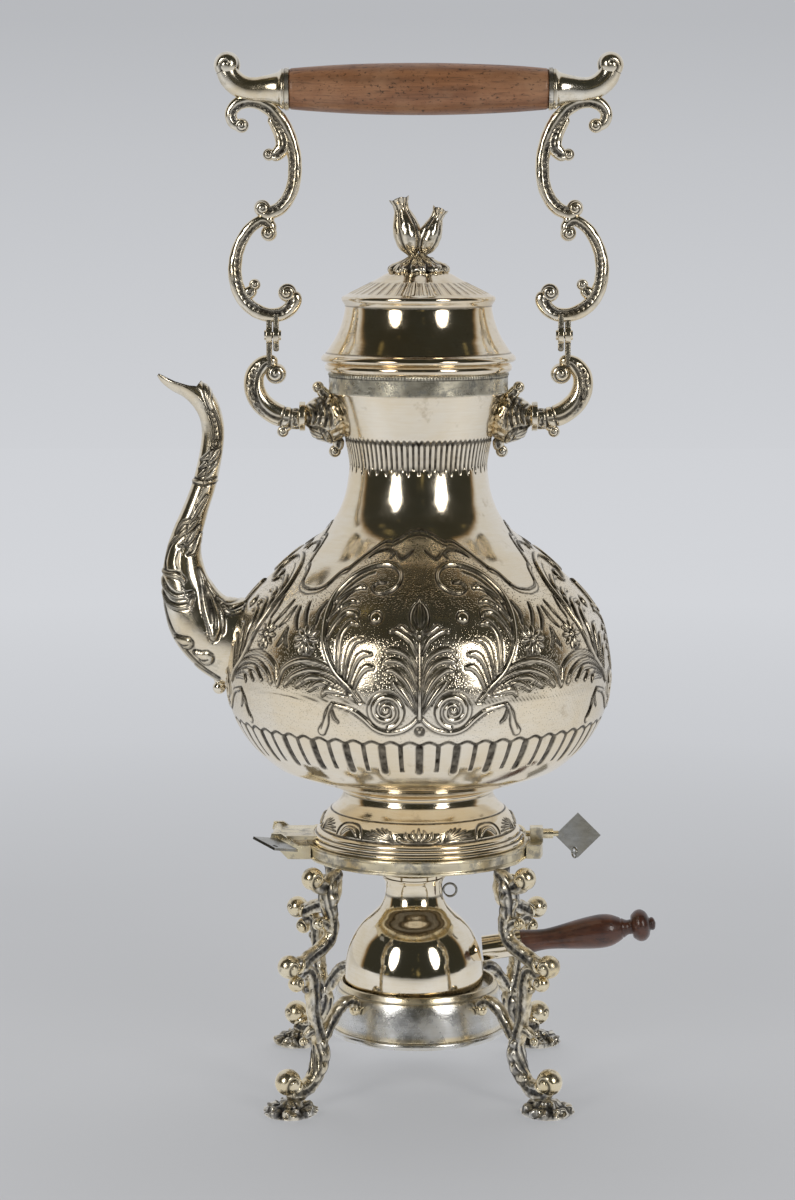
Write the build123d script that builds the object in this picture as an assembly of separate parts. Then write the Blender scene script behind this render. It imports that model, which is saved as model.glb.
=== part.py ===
from build123d import *
import os
from math import atan2, cos, degrees, hypot, radians, sin

# A silver-plated spirit kettle on its burner stand. Millimetres, +Z up, the floor at z = 0.
# Everything is drawn about the kettle's upright axis, the spout to -X and the burner's handle
# to +X. At the end the whole is moved along X, so that the origin lies under its middle.

# Stand ring, which the kettle's foot seats on
ring_top = 93.4
ring_outer_radius = 42.3
ring_band_height = 5.4
ring_band_wall = 1.4
ring_seat_radius = 35.0
ring_seat_thickness = 1.5
ear_reach = 47.4
ear_half_width = 11.6
ear_thickness = 5.2

# Legs and foot pads
leg_angles = {"front_left": 225, "front_right": 315, "rear_left": 135, "rear_right": 45}
leg_knee_reach = 58.4
leg_knee_height = 51.8
pad_centre_radius = 67.0
pad_lobes = 7
pad_lobe_radius = 4.3
pad_disc_radius = 8.8
pad_thickness = 4.2

# Tray that holds the burner
tray_bottom = 20.0
tray_rim_radius = 34.7
tray_rim_height = 2.4
tray_lip_height = 38.8
tray_wall = 1.0
tray_ledge_height = 33.2
tray_hole_radius = 21.0

# Burner, standing with some play in the tray
font_radius = 26.7
font_height = 45.8
font_wall = 0.9
font_neck_radius = 10.7
font_lip_radius = 12.0
burner_play = 1.9
burner_offset = -1.5
wick_plug_radius = 9.2
wick_plug_depth = 9.0
wick_flange_radius = 11.4
wick_flange_thickness = 1.2
wick_tube_radius = 4.6
wick_tube_height = 3.6
wick_radius = 3.8
wick_top = 1.6
eye_wire_radius = 0.45
eye_ring_radius = 2.5
handle_rise = 8.5
handle_root_reach = 40.9
handle_root_height = 52.9
handle_length = 51.9
handle_radius = 6.4
socket_radius = 4.75
tang_radius = 1.5
tang_length = 34.0
tang_depth = 12.0

# Kettle body, heights counted from its flat bottom
foot_height = 21.7
base_radius = 28.1
belly_radius = 72.2
belly_height = 41.8
waist_radius = 25.8
waist_height = 119.3
mouth_radius = 32.4
collar_height = 148.0
collar_width = 7.4
collar_thickness = 1.0
mouth_bead_height = 3.6
bead_radius = 1.5
body_wall = 1.2
body_seam_turn = 45  # degrees, puts the surface's seam between the spout and the front

# Foot of the kettle
foot_waist_radius = 28.4
foot_skirt_radius = 37.3
foot_flange_radius = 40.4
foot_base_thickness = 5.2
foot_wall = 1.1

# Spout
spout_rise = 151.6
spout_wall = 1.1
spout_base_width = 0.74
strainer_hole_radius = 1.6
strainer_pitch = 5.0
strainer_height = 53.0

# Lid
lid_height = 33.2
lid_waist_height = 19.2
lid_step_height = 23.2
lid_rim_radius = 36.1
lid_waist_radius = 26.9
lid_step_radius = 28.0
lid_crown_radius = 11.1
lid_wall = 1.1
lid_bezel_depth = 8.5
lid_bezel_wall = 0.9
finial_leaf_radius = 11.5
finial_leaf_height = 5.0
finial_leaves = 8
finial_screw_radius = 1.5
finial_nut_radius = 3.4
finial_nut_height = 2.2

# Bail, its pivots and its brackets; bail_waist_rise and grip_rise count from the pivot
bracket_drop = 9.6
pivot_above_bracket = 30.6
ear_radius = 3.6
ear_stem_half_width = 2.4
bail_ear_inner = 51.8
bail_ear_thickness = 2.2
ear_gap = 0.4
bracket_ear_thickness = 2.2
rivet_radius = 1.2
rivet_head_radius = 1.9
rivet_head_height = 0.7
bracket_boss_radius = 9.1
bail_limb_radius = 2.6
bail_waist_rise = 42.8
bail_waist_out = 3.9
grip_rise = 90.3
grip_length = 95.5
grip_radius = 9.5
grip_end_radius = 7.35
grip_bead_radius = 7.8
grip_bead_width = 1.5
grip_rod_radius = 2.0
grip_rod_socket = 9.0

# Hinge on the spout side and bolt on the handle side
hinge_reach = 53.3
hinge_above_ring = 2.4
hinge_tongue_length = 20.0
hinge_tongue_thickness = 1.4
hinge_barrel_radius = 1.75
hinge_lug_thickness = 2.0
hinge_lug_radius = 2.5
pin_radius = 1.0
thumb_plate_side = 12.3
thumb_plate_thickness = 1.0
thumb_plate_tilt = 16.7
thumb_plate_gap = 0.7
bolt_above_ring = 2.0
bolt_tip_radius = 1.1
bolt_shank_radius = 1.9
bolt_shank_length = 6.4
bolt_travel = 3.9
bolt_lug_half_width = 3.0
bolt_lug_height = 2.6
chain_hole_radius = 1.0
chain_hole_inset = 3.3
chain_hole_side = 1.2
chain_ring_radius = 1.9
chain_ring_wire = 0.4

# Clearances
seat_gap = 0.1
running_gap = 0.05
plug_gap = 0.15
lid_gap = 0.2
bezel_gap = 0.4
side_gap = 0.3
bolt_gap = 0.5

# Heights that follow from the sizes above
foot_bottom = ring_top + seat_gap
body_bottom = foot_bottom + foot_height
mouth_top = body_bottom + collar_height + collar_width + mouth_bead_height
lid_bottom = mouth_top + lid_gap
lid_top = lid_bottom + lid_height
font_bottom = tray_ledge_height + seat_gap
font_top = font_bottom + font_height
bracket_height = body_bottom + collar_height - bracket_drop
pivot_height = bracket_height + pivot_above_bracket
grip_height = pivot_height + grip_rise
grip_end = grip_length / 2 + grip_bead_width
hinge_height = ring_top + hinge_above_ring
bolt_height = ring_top + bolt_above_ring
bail_ear_outer = bail_ear_inner + bail_ear_thickness
bracket_ear_inner = bail_ear_outer + ear_gap
bracket_ear_outer = bracket_ear_inner + bracket_ear_thickness
lug_near = hinge_tongue_length / 2 + side_gap
lug_far = lug_near + hinge_lug_thickness
ear_top = ring_top - seat_gap
ear_bottom = ear_top - ear_thickness
bolt_back = ear_reach + bolt_travel
plate_reach = thumb_plate_side / 2 ** 0.5


def turned(*runs):
    """A solid of revolution about Z, from the axis out to runs of (kind, points)."""
    edges = []
    for kind, points in runs:
        line = Spline(*points) if kind == "curve" else Polyline(*points)
        edges += line.edges()
    start = runs[0][1][0]
    end = runs[-1][1][-1]
    back = [end]
    if end[0] > 0:
        back.append((0, end[1]))
    if start[0] > 0:
        back.append((0, start[1]))
    back.append(start)
    edges += Polyline(*back).edges()
    return revolve(Plane.XZ * Face(Wire(edges)), Axis.Z)


def turned_ring(points):
    """A ring of revolution about Z whose section is the closed outline points."""
    return revolve(Plane.XZ * Face(Wire(Polyline(*points, close=True).edges())), Axis.Z)


def inset(points, depth):
    """The outline (radius, height) moved inwards by depth, square to its own run."""
    moved = []
    last = len(points) - 1
    for index, (radius, height) in enumerate(points):
        before = points[max(index - 1, 0)]
        after = points[min(index + 1, last)]
        along = (after[0] - before[0], after[1] - before[1])
        length = hypot(*along)
        moved.append((radius - depth * along[1] / length, height + depth * along[0] / length))
    return moved


def between(low, high, shape):
    """Points from low to high, at the shares of the way in radius and height that shape gives."""
    span = (high[0] - low[0], high[1] - low[1])
    inner = [(low[0] + part[0] * span[0], low[1] + part[1] * span[1]) for part in shape]
    return [low, *inner, high]


def limb(stations):
    """A cast limb of round section in the XZ plane, through stations of (x, z, radius)."""
    sections = []
    last = len(stations) - 1
    for index, (x, z, radius) in enumerate(stations):
        before = stations[max(index - 1, 0)]
        after = stations[min(index + 1, last)]
        along = Vector(after[0] - before[0], 0, after[1] - before[1])
        across = Vector(-along.Z, 0, along.X)
        sections.append(Plane(origin=(x, 0, z), x_dir=across, z_dir=along) * Circle(radius))
    return loft(sections)


def ball(x, z, radius):
    return Pos(x, 0, z) * Sphere(radius)


def fused(shapes):
    """One solid from shapes that run into each other."""
    whole = shapes[0]
    for shape in shapes[1:]:
        whole = whole + shape
    return whole


def rod_x(start, end, radius, height):
    """A round rod along X from start to end."""
    middle = Pos((start + end) / 2, 0, height)
    return middle * Rot(0, 90, 0) * Cylinder(radius, abs(end - start))


def rod_y(x, height, radius, low, high):
    """A round rod along Y from low to high."""
    return Pos(x, (low + high) / 2, height) * Rot(90, 0, 0) * Cylinder(radius, high - low)


def block(low, high):
    """A box from its low corner to its high corner."""
    size = [b - a for a, b in zip(low, high)]
    centre = [(a + b) / 2 for a, b in zip(low, high)]
    return Pos(*centre) * Box(*size)


def mirrored(shape):
    """The same piece on the handle side."""
    return mirror(shape, about=Plane.YZ)


# Kettle

def body_points():
    """The kettle's outline from its flat bottom to the foot of the collar."""
    base = (base_radius, body_bottom)
    belly = (belly_radius, body_bottom + belly_height)
    waist = (waist_radius, body_bottom + waist_height)
    collar = (mouth_radius, body_bottom + collar_height)
    low_shape = [(0.27, 0.062), (0.61, 0.205), (0.82, 0.42), (0.952, 0.68)]
    high_shape = [(0.06, 0.25), (0.27, 0.435), (0.54, 0.582), (0.83, 0.725), (0.95, 0.85)]
    neck_shape = [(0.08, 0.19), (0.30, 0.435), (0.64, 0.714)]
    low = between(base, belly, low_shape)
    high = between(belly, waist, high_shape)
    neck = between(waist, collar, neck_shape)
    return low + high[1:] + neck[1:]


def body_outside():
    outline = body_points()
    top = (mouth_radius, mouth_top)
    return turned(("curve", outline), ("line", [outline[-1], top]))


def body_inside():
    outline = inset(body_points(), body_wall)
    outline[0] = (outline[0][0], body_bottom + body_wall)
    outline[-1] = (mouth_radius - body_wall, body_bottom + collar_height)
    top = (mouth_radius - body_wall, mouth_top + body_wall)
    return turned(("curve", outline), ("line", [outline[-1], top]))


def strainer_holes():
    """Seven small holes through the wall where the spout joins it."""
    height = body_bottom + strainer_height
    places = [(0, 0)]
    for turn in range(6):
        angle = radians(60 * turn)
        places.append((strainer_pitch * cos(angle), strainer_pitch * sin(angle)))
    reach = belly_radius + spout_wall
    drills = []
    for across, up in places:
        drill = rod_x(-reach, -base_radius, strainer_hole_radius, height + up)
        drills.append(Pos(0, across, 0) * drill)
    return drills


def kettle_body():
    shell = Rot(0, 0, body_seam_turn) * (body_outside() - body_inside())
    for drill in strainer_holes():
        shell = shell - drill
    return shell


def mouth_collar():
    """The applied band round the top of the neck."""
    low = body_bottom + collar_height
    high = low + collar_width
    outer = mouth_radius + collar_thickness
    return turned_ring([(mouth_radius, low), (outer, low), (outer, high), (mouth_radius, high)])


def mouth_bead():
    """The half-round wire round the mouth, above the collar."""
    low = body_bottom + collar_height + collar_width
    high = mouth_top
    middle = (low + high) / 2
    outer = mouth_radius + bead_radius + collar_thickness
    nose = bead_radius * 0.6
    return turned_ring([
        (mouth_radius, low),
        (outer - nose, low),
        (outer, middle - nose),
        (outer, middle + nose),
        (outer - nose, high),
        (mouth_radius, high),
    ])


def foot_skirt_points():
    low = (foot_skirt_radius, foot_bottom + foot_base_thickness)
    high = (foot_waist_radius, body_bottom)
    shape = [(0.08, 0.15), (0.31, 0.37), (0.73, 0.575), (0.97, 0.735)]
    return between(low, high, shape)


def foot_base_outline():
    """The stepped moulding round the bottom of the foot, from its inner edge outwards."""
    inner = ring_seat_radius - foot_wall
    edge = foot_flange_radius
    top = foot_bottom + foot_base_thickness
    return [
        (inner, foot_bottom),
        (edge, foot_bottom),
        (edge, foot_bottom + 1.5),
        (edge - 0.8, foot_bottom + 2.0),
        (edge - 0.8, foot_bottom + 3.1),
        (edge - 1.9, foot_bottom + 4.3),
        (foot_skirt_radius, top),
        (inner, top),
    ]


def foot_outside():
    """The foot and its moulding without their hollow, to trim what is soldered to them."""
    moulding = foot_base_outline()
    return turned(("line", moulding[1:-1])) + turned(("curve", foot_skirt_points()))


def kettle_foot():
    outline = foot_skirt_points()
    hollow = inset(outline, foot_wall)
    hollow[0] = (foot_skirt_radius - foot_wall, outline[0][1])
    hollow[-1] = (foot_waist_radius - foot_wall, body_bottom)
    return turned(("curve", outline)) - turned(("curve", hollow))


def bolt_hole():
    """The hole in the foot's moulding that the lock bolt runs into."""
    return rod_x(0, foot_flange_radius + 1, bolt_tip_radius + running_gap, bolt_height)


def foot_base_ring():
    return turned_ring(foot_base_outline()) - bolt_hole()


def hinge_tongue():
    """The plate on the foot, with the barrel that the hinge pin runs in."""
    half = hinge_tongue_length / 2
    low = hinge_height - hinge_tongue_thickness / 2
    plate = block((-hinge_reach, -half, low), (-base_radius, half, low + hinge_tongue_thickness))
    barrel = rod_y(-hinge_reach, hinge_height, hinge_barrel_radius, -half, half)
    bore = rod_y(-hinge_reach, hinge_height, pin_radius + running_gap, -half - 1, half + 1)
    return plate + barrel - bore - foot_outside()


# Spout

def spout_stations():
    """The spout's middle line: out from the belly, share of the spout's rise, and radius."""
    reach_share_radius = [
        (20.0, 1.000, 3.7),
        (12.4, 0.987, 4.4),
        (8.2, 0.958, 4.5),
        (5.4, 0.920, 4.1),
        (4.5, 0.874, 4.1),
        (5.6, 0.815, 4.2),
        (7.9, 0.749, 4.3),
        (11.4, 0.683, 4.6),
        (14.5, 0.622, 5.6),
        (16.0, 0.561, 7.2),
        (14.6, 0.488, 9.6),
        (8.8, 0.409, 13.4),
        (-3.0, 0.359, 16.6),
        (-20.0, 0.336, 17.6),
    ]
    return [(-belly_radius - out, body_bottom + share * spout_rise, radius)
            for out, share, radius in reach_share_radius]


def spout_solid(shrink):
    """The spout's loft, smaller by shrink all round; it widens less in Y towards its base."""
    stations = spout_stations()
    sections = []
    last = len(stations) - 1
    for index, (x, z, radius) in enumerate(stations):
        before = stations[max(index - 1, 0)]
        after = stations[min(index + 1, last)]
        along = Vector(after[0] - before[0], 0, after[1] - before[1])
        across = Vector(-along.Z, 0, along.X)
        share = index / last
        half_width = radius * (1 + (spout_base_width - 1) * share ** 2)
        outline = Ellipse(radius - shrink, half_width - shrink)
        sections.append(Plane(origin=(x, 0, z), x_dir=across, z_dir=along) * outline)
    return loft(sections)


def spout_mouth_cut():
    """What is cut off over the pouring lip: a long beak, a notch and a short heel."""
    top = body_bottom + spout_rise
    beak = (-belly_radius - 25.4, top + 3.4)
    notch = (-belly_radius - 10.6, top - 1.6)
    heel = (-belly_radius - 7.3, top + 2.1)
    far = (heel[0] + 12.0, top + 2.4)
    high = top + 27.4
    low_beak = (beak[0] - 6.0, beak[1] + 0.5)
    outline = Polyline(low_beak, beak, notch, heel, far, (far[0], high), (low_beak[0], high),
                       close=True)
    face = Plane.XZ * Face(Wire(outline.edges()))
    return extrude(face, amount=belly_radius, both=True)


def spout():
    return spout_solid(0) - body_outside() - spout_mouth_cut() - spout_solid(spout_wall)


# Brackets that carry the bail

def bail_bracket():
    """One cast bracket: leafy boss on the neck, ringed arm, curl and pivot ear."""
    low = bracket_height
    neck = mouth_radius
    arm_x = (bracket_ear_inner + bracket_ear_outer) / 2
    boss = limb([
        (-neck + 8.4, low - 2.0, bracket_boss_radius),
        (-neck + 0.9, low - 0.5, bracket_boss_radius),
        (-neck - 3.6, low + 0.2, bracket_boss_radius * 0.93),
        (-neck - 7.6, low + 0.6, bracket_boss_radius * 0.72),
        (-neck - 10.6, low + 0.2, bracket_boss_radius * 0.52),
    ])
    ring = rod_x(-neck - 11.6, -neck - 9.5, 5.6, low + 0.4)
    arm = limb([
        (-neck - 9.6, low, 4.0),
        (-arm_x + 6.5, low - 0.5, 4.0),
        (-arm_x - 0.3, low + 2.0, 4.0),
        (-arm_x - 4.7, low + 7.0, 3.8),
        (-arm_x - 5.5, low + 12.8, 3.4),
        (-arm_x - 2.8, low + 17.6, 2.9),
        (-arm_x + 0.9, low + 19.6, 2.4),
    ])
    curls = [
        ball(-arm_x + 2.7, low + 16.2, 3.7),
        limb([
            (-arm_x + 8.5, low - 2.5, 2.2),
            (-arm_x + 6.3, low - 4.6, 2.0),
            (-arm_x + 5.1, low - 5.6, 1.6),
        ]),
        ball(-arm_x + 5.1, low - 5.2, 2.1),
        limb([
            (-neck - 0.6, low + 6.0, 2.6),
            (-neck - 3.2, low + 9.4, 2.2),
            (-neck - 5.0, low + 11.4, 1.8),
        ]),
        ball(-neck - 4.9, low + 11.2, 2.1),
        limb([
            (-neck + 3.4, low - 6.5, 2.6),
            (-neck + 2.8, low - 10.5, 2.2),
            (-neck + 1.4, low - 12.8, 1.8),
        ]),
        ball(-neck + 1.6, low - 12.7, 2.3),
    ]
    half = ear_stem_half_width
    stem = block((-bracket_ear_outer, -half, low + 18.0), (-bracket_ear_inner, half, pivot_height))
    eye = rod_x(-bracket_ear_outer, -bracket_ear_inner, ear_radius, pivot_height)
    bore = rod_x(-bracket_ear_outer - 1, -bracket_ear_inner + 1, rivet_radius, pivot_height)
    whole = fused([boss, ring, arm, *curls, stem, eye]) - bore
    return whole - body_outside() - mouth_collar()


def bail_rivets():
    """The two pivot rivets, headed on both sides of their ears."""
    inner = bail_ear_inner - running_gap
    outer = bracket_ear_outer
    rivet = fused([
        rod_x(-outer, -inner, rivet_radius, pivot_height),
        rod_x(-outer - rivet_head_height, -outer, rivet_head_radius, pivot_height),
        rod_x(-inner, -inner + rivet_head_height, rivet_head_radius, pivot_height),
    ])
    return Compound([rivet.solid(), mirrored(rivet).solid()])


# Bail

def ferrule():
    """The cast end of the handle, flared at the grip and curled up at its outer end."""
    horn = limb([
        (-grip_end, grip_height, 7.5),
        (-grip_end - 4.0, grip_height, 6.1),
        (-grip_end - 10.0, grip_height - 0.6, 4.7),
        (-grip_end - 15.5, grip_height + 0.4, 4.3),
        (-grip_end - 19.8, grip_height + 3.6, 4.1),
        (-grip_end - 21.3, grip_height + 7.2, 4.0),
    ])
    curl = ball(-grip_end - 21.0, grip_height + 8.4, 4.85)
    socket = rod_x(-grip_end - grip_rod_socket, -grip_end + 1, grip_rod_radius, grip_height)
    return horn + curl - socket


def bail_scroll():
    """One side of the bail: two C scrolls with leaf curls, and the flat ear at the pivot."""
    thick = bail_limb_radius
    ear_x = (bail_ear_inner + bail_ear_outer) / 2
    waist_x = ear_x + bail_waist_out
    waist_z = pivot_height + bail_waist_rise
    upper_rise = grip_height - waist_z

    def high(out, share, radius):
        """A station of the upper scroll, out from the grip's end and up from the waist."""
        return (-grip_end - out, waist_z + share * upper_rise, radius)

    def low(out, share, radius):
        """A station of the lower scroll, out from the ear and up from the pivot."""
        return (-ear_x - out, pivot_height + share * bail_waist_rise, radius)

    upper = limb([
        high(15.8, 0.714, thick - 0.6),
        high(19.0, 0.766, thick - 0.5),
        high(18.0, 0.855, thick - 0.3),
        high(12.7, 0.897, thick - 0.1),
        high(5.4, 0.850, thick),
        high(-0.4, 0.695, thick),
        high(-3.4, 0.455, thick),
        high(-3.0, 0.230, thick),
        (-waist_x + 6.5, waist_z + 0.090 * upper_rise, thick - 0.1),
        (-waist_x + 0.8, waist_z + 0.034 * upper_rise, thick - 0.3),
    ])
    leaf = limb([
        high(1.2, 0.726, thick - 0.7),
        high(1.0, 0.568, thick - 0.4),
        high(4.8, 0.484, thick - 0.6),
    ])
    lower = limb([
        (-waist_x - 0.4, waist_z - 1.8, thick - 0.5),
        low(9.7, 0.876, thick - 0.3),
        low(13.5, 0.729, thick - 0.2),
        low(14.4, 0.533, thick - 0.1),
        low(12.3, 0.360, thick),
        low(7.6, 0.227, thick),
        low(1.5, 0.173, thick),
        low(-4.3, 0.215, thick),
        low(-6.5, 0.318, thick),
    ])
    curls = [
        ball(*high(16.1, 0.716, 2.7)),
        ball(*high(5.4, 0.484, 2.6)),
        ball(-waist_x - 1.0, waist_z + 3.9, 2.8),
        ball(-waist_x + 1.4, waist_z - 5.4, 2.8),
        limb([
            (-waist_x - 1.8, waist_z - 2.0, 1.8),
            (-waist_x + 1.2, waist_z - 2.4, 2.0),
            (-waist_x + 2.2, waist_z - 5.0, 2.0),
        ]),
        ball(-waist_x - 0.2, waist_z, 2.0),
        ball(*low(-4.1, 0.360, 3.2)),
        limb([low(11.3, 0.322, 2.0), low(8.5, 0.369, 2.0), low(7.3, 0.402, 1.6)]),
        ball(*low(7.5, 0.397, 1.9)),
    ]
    half = ear_stem_half_width
    stem_top = pivot_height + 0.16 * bail_waist_rise
    stem = block((-bail_ear_outer, -half, pivot_height), (-bail_ear_inner, half, stem_top))
    eye = rod_x(-bail_ear_outer, -bail_ear_inner, ear_radius, pivot_height)
    bore_radius = rivet_radius + running_gap
    bore = rod_x(-bail_ear_outer - 1, -bail_ear_inner + 1, bore_radius, pivot_height)
    whole = fused([upper, leaf, lower, *curls, stem, eye])
    return whole - bore - ferrule()


def grip():
    """The barrel-shaped wooden grip, bored for its rod."""
    half = grip_length / 2
    swell = ThreePointArc((-half, grip_end_radius), (0, grip_radius), (half, grip_end_radius))
    side = Polyline((half, grip_end_radius), (half, 0), (-half, 0), (-half, grip_end_radius))
    section = Plane.XZ * Face(Wire(swell.edges() + side.edges()))
    wood = Pos(0, 0, grip_height) * revolve(section, Axis.X)
    return wood - rod_x(-half - 1, half + 1, grip_rod_radius, grip_height)


def grip_rod():
    reach = grip_end + grip_rod_socket
    return rod_x(-reach, reach, grip_rod_radius, grip_height)


def grip_beads():
    """The two turned rings between the grip and its ferrules."""
    start = grip_length / 2
    ring = rod_x(-grip_end, -start, grip_bead_radius, grip_height)
    ring = ring - rod_x(-grip_end - 1, -start + 1, grip_rod_radius, grip_height)
    return Compound([ring.solid(), mirrored(ring).solid()])


# Lid

def lid_side_points():
    """The lid's outline from its rim up to the step, then the cone up to the finial."""
    rim = (lid_rim_radius, lid_bottom + 2.0)
    waist = (lid_waist_radius, lid_bottom + lid_waist_height)
    shape = [(0.21, 0.115), (0.47, 0.33), (0.77, 0.66)]
    return between(rim, waist, shape)


def lid_outside():
    side = lid_side_points()
    step = lid_bottom + lid_step_height
    underside = [
        (lid_rim_radius - 1.8, lid_bottom),
        (lid_rim_radius - 0.5, lid_bottom + 0.6),
        side[0],
    ]
    cone = [
        side[-1],
        (lid_waist_radius + 0.2, step - 1.4),
        (lid_step_radius, step - 0.6),
        (lid_step_radius, step + 0.4),
        (lid_crown_radius, lid_top),
    ]
    return turned(("line", underside), ("curve", side), ("line", cone))


def lid_inside():
    side = inset(lid_side_points(), lid_wall)
    step = lid_bottom + lid_step_height
    rim = (side[0][0], lid_bottom - 1.0)
    side[0] = (side[0][0], lid_bottom + 1.6)
    cone = [
        side[-1],
        (lid_waist_radius - lid_wall, step - 1.0),
        (lid_crown_radius - lid_wall, lid_top - lid_wall),
    ]
    return turned(("line", [rim, side[0]]), ("curve", side), ("line", cone))


def lid_floor():
    """The flat ring inside the rim that the bezel is soldered to."""
    outer = lid_rim_radius
    inner = bezel_outer_radius() - lid_bezel_wall
    low = lid_bottom
    high = low + lid_wall
    ring = turned_ring([(inner, low), (outer, low), (outer, high), (inner, high)])
    return ring & lid_outside()


def bezel_outer_radius():
    return mouth_radius - body_wall - bezel_gap


def lid_shell():
    shell = lid_outside() - lid_inside()
    hole = Pos(0, 0, lid_top) * Cylinder(finial_screw_radius, 4 * lid_wall)
    return shell + lid_floor() - hole


def lid_bezel():
    """The upright flange that drops into the kettle's mouth."""
    outer = bezel_outer_radius()
    inner = outer - lid_bezel_wall
    low = lid_bottom - lid_bezel_depth
    return turned_ring([(inner, low), (outer, low), (outer, lid_bottom), (inner, lid_bottom)])


def finial_leaves_ring():
    """The rosette of leaves under the buds."""
    low = lid_top
    reach = finial_leaf_radius - 2.9
    disc = turned_ring([
        (0, low),
        (reach + 1.2, low),
        (reach + 0.4, low + 2.6),
        (reach * 0.55, low + finial_leaf_height),
        (0, low + finial_leaf_height + 1.0),
    ])
    leaves = [disc]
    for index in range(finial_leaves):
        leaf = Pos(reach, 0, low + 2.2) * Sphere(2.9)
        leaves.append(Rot(0, 0, 360 * index / finial_leaves) * leaf)
    below = Pos(0, 0, low - 10) * Box(60, 60, 20)
    hole = Pos(0, 0, low) * Cylinder(finial_screw_radius, 6.0)
    return fused(leaves) - below - hole


def bud(foot, mouth, radius):
    """A tulip bud from its stalk at foot to its open mouth, both (x, z)."""
    length = hypot(mouth[0] - foot[0], mouth[1] - foot[1])
    lean = degrees(atan2(mouth[0] - foot[0], mouth[1] - foot[1]))
    outline = [
        (radius * 0.32, 0),
        (radius * 0.80, length * 0.20),
        (radius, length * 0.45),
        (radius * 0.74, length * 0.74),
        (radius * 0.84, length),
    ]
    solid = turned(("curve", outline))
    cup = Pos(0, 0, length) * Cone(radius * 0.2, radius * 0.66, length * 0.2)
    return Pos(foot[0], 0, foot[1]) * Rot(0, lean, 0) * (solid - cup)


def finial_buds():
    """The pair of buds that stand on the rosette."""
    top = lid_top + finial_leaf_height
    large = bud((-2.6, top), (-7.4, top + 21.6), 4.5)
    small = bud((1.4, top), (7.9, top + 18.0), 3.7)
    root = Pos(0, 0, top) * Sphere(3.6)
    return large + small + root - finial_leaves_ring() - finial_screw()


def finial_screw():
    """The screw that holds the finial to the lid."""
    low = lid_top - lid_wall - finial_nut_height - 2.0
    high = lid_top + 3.0
    return Pos(0, 0, (low + high) / 2) * Cylinder(finial_screw_radius, high - low)


def finial_nut():
    low = lid_top - lid_wall - finial_nut_height
    body = Pos(0, 0, low) * extrude(RegularPolygon(finial_nut_radius, 6), finial_nut_height)
    return body - finial_screw()


# Stand

def ring_outline():
    """The ring's section: an outer band with the seat for the kettle's foot inside its top."""
    low = ring_top - ring_band_height
    under = ring_top - ring_seat_thickness
    inner = ring_outer_radius - ring_band_wall
    return [
        (inner, low),
        (ring_outer_radius, low),
        (ring_outer_radius, ring_top),
        (ring_seat_radius, ring_top),
        (ring_seat_radius, under),
        (inner, under),
    ]


def stand_ring():
    return turned_ring(ring_outline())


def ear():
    """The flat ear that stands out from the ring's band on the spout side."""
    plate = block((-ear_reach, -ear_half_width, ear_bottom), (0, ear_half_width, ear_top))
    middle = (ear_bottom + ear_top) / 2
    rounding = Pos(0, 0, middle) * Cylinder(ear_reach, ear_thickness)
    band = Pos(0, 0, middle) * Cylinder(ring_outer_radius, 2 * ear_thickness)
    return plate & rounding - band


def hinge_lugs():
    """The spout-side ear with the two lugs that the hinge pin passes through."""
    nose = hinge_lug_radius
    outline = Polyline(
        (-ear_reach + 2.0, ear_bottom),
        (-ear_reach - 1.6, ear_bottom),
        (-hinge_reach - nose, hinge_height - 0.6),
        (-hinge_reach - nose + 0.6, hinge_height + nose - 0.5),
        (-hinge_reach + nose - 0.7, hinge_height + nose - 0.5),
        (-ear_reach + 2.0, ear_top),
        close=True,
    )
    face = Plane.XZ * Face(Wire(outline.edges()))
    lug = extrude(face, amount=hinge_lug_thickness / 2, both=True)
    middle = (lug_near + lug_far) / 2
    bore = rod_y(-hinge_reach, hinge_height, pin_radius + running_gap, -lug_far - 1, lug_far + 1)
    plate = block((-ear_reach, -lug_far, ear_bottom), (0, lug_far, ear_top))
    band = Pos(0, 0, ring_top) * Cylinder(ring_outer_radius, 4 * ear_thickness)
    return plate - band + Pos(0, middle, 0) * lug + Pos(0, -middle, 0) * lug - bore


def bolt_lug():
    """The handle-side ear with the bored lug that guides the lock bolt."""
    inner = ring_outer_radius + side_gap
    half = bolt_lug_half_width
    lug = block((inner, -half, ear_top - 1.0), (ear_reach, half, bolt_height + bolt_lug_height))
    bore = rod_x(inner - 1, ear_reach + 1, bolt_shank_radius + running_gap, bolt_height)
    return mirrored(ear()) + lug - bore


def foot_pad():
    """A lobed leaf that a leg stands on, drawn in the leg's own plane."""
    shapes = [Pos(0, 0, pad_thickness / 2) * Cylinder(pad_disc_radius, pad_thickness)]
    for index in range(pad_lobes):
        lobe = Pos(pad_disc_radius - 0.6, 0, 0.3) * Sphere(pad_lobe_radius)
        shapes.append(Rot(0, 0, 360 * index / pad_lobes) * lobe)
    room = 4 * pad_disc_radius
    below = Pos(0, 0, -room / 2) * Box(room, room, room)
    return Pos(pad_centre_radius, 0, 0) * (fused(shapes) - below)


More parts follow.
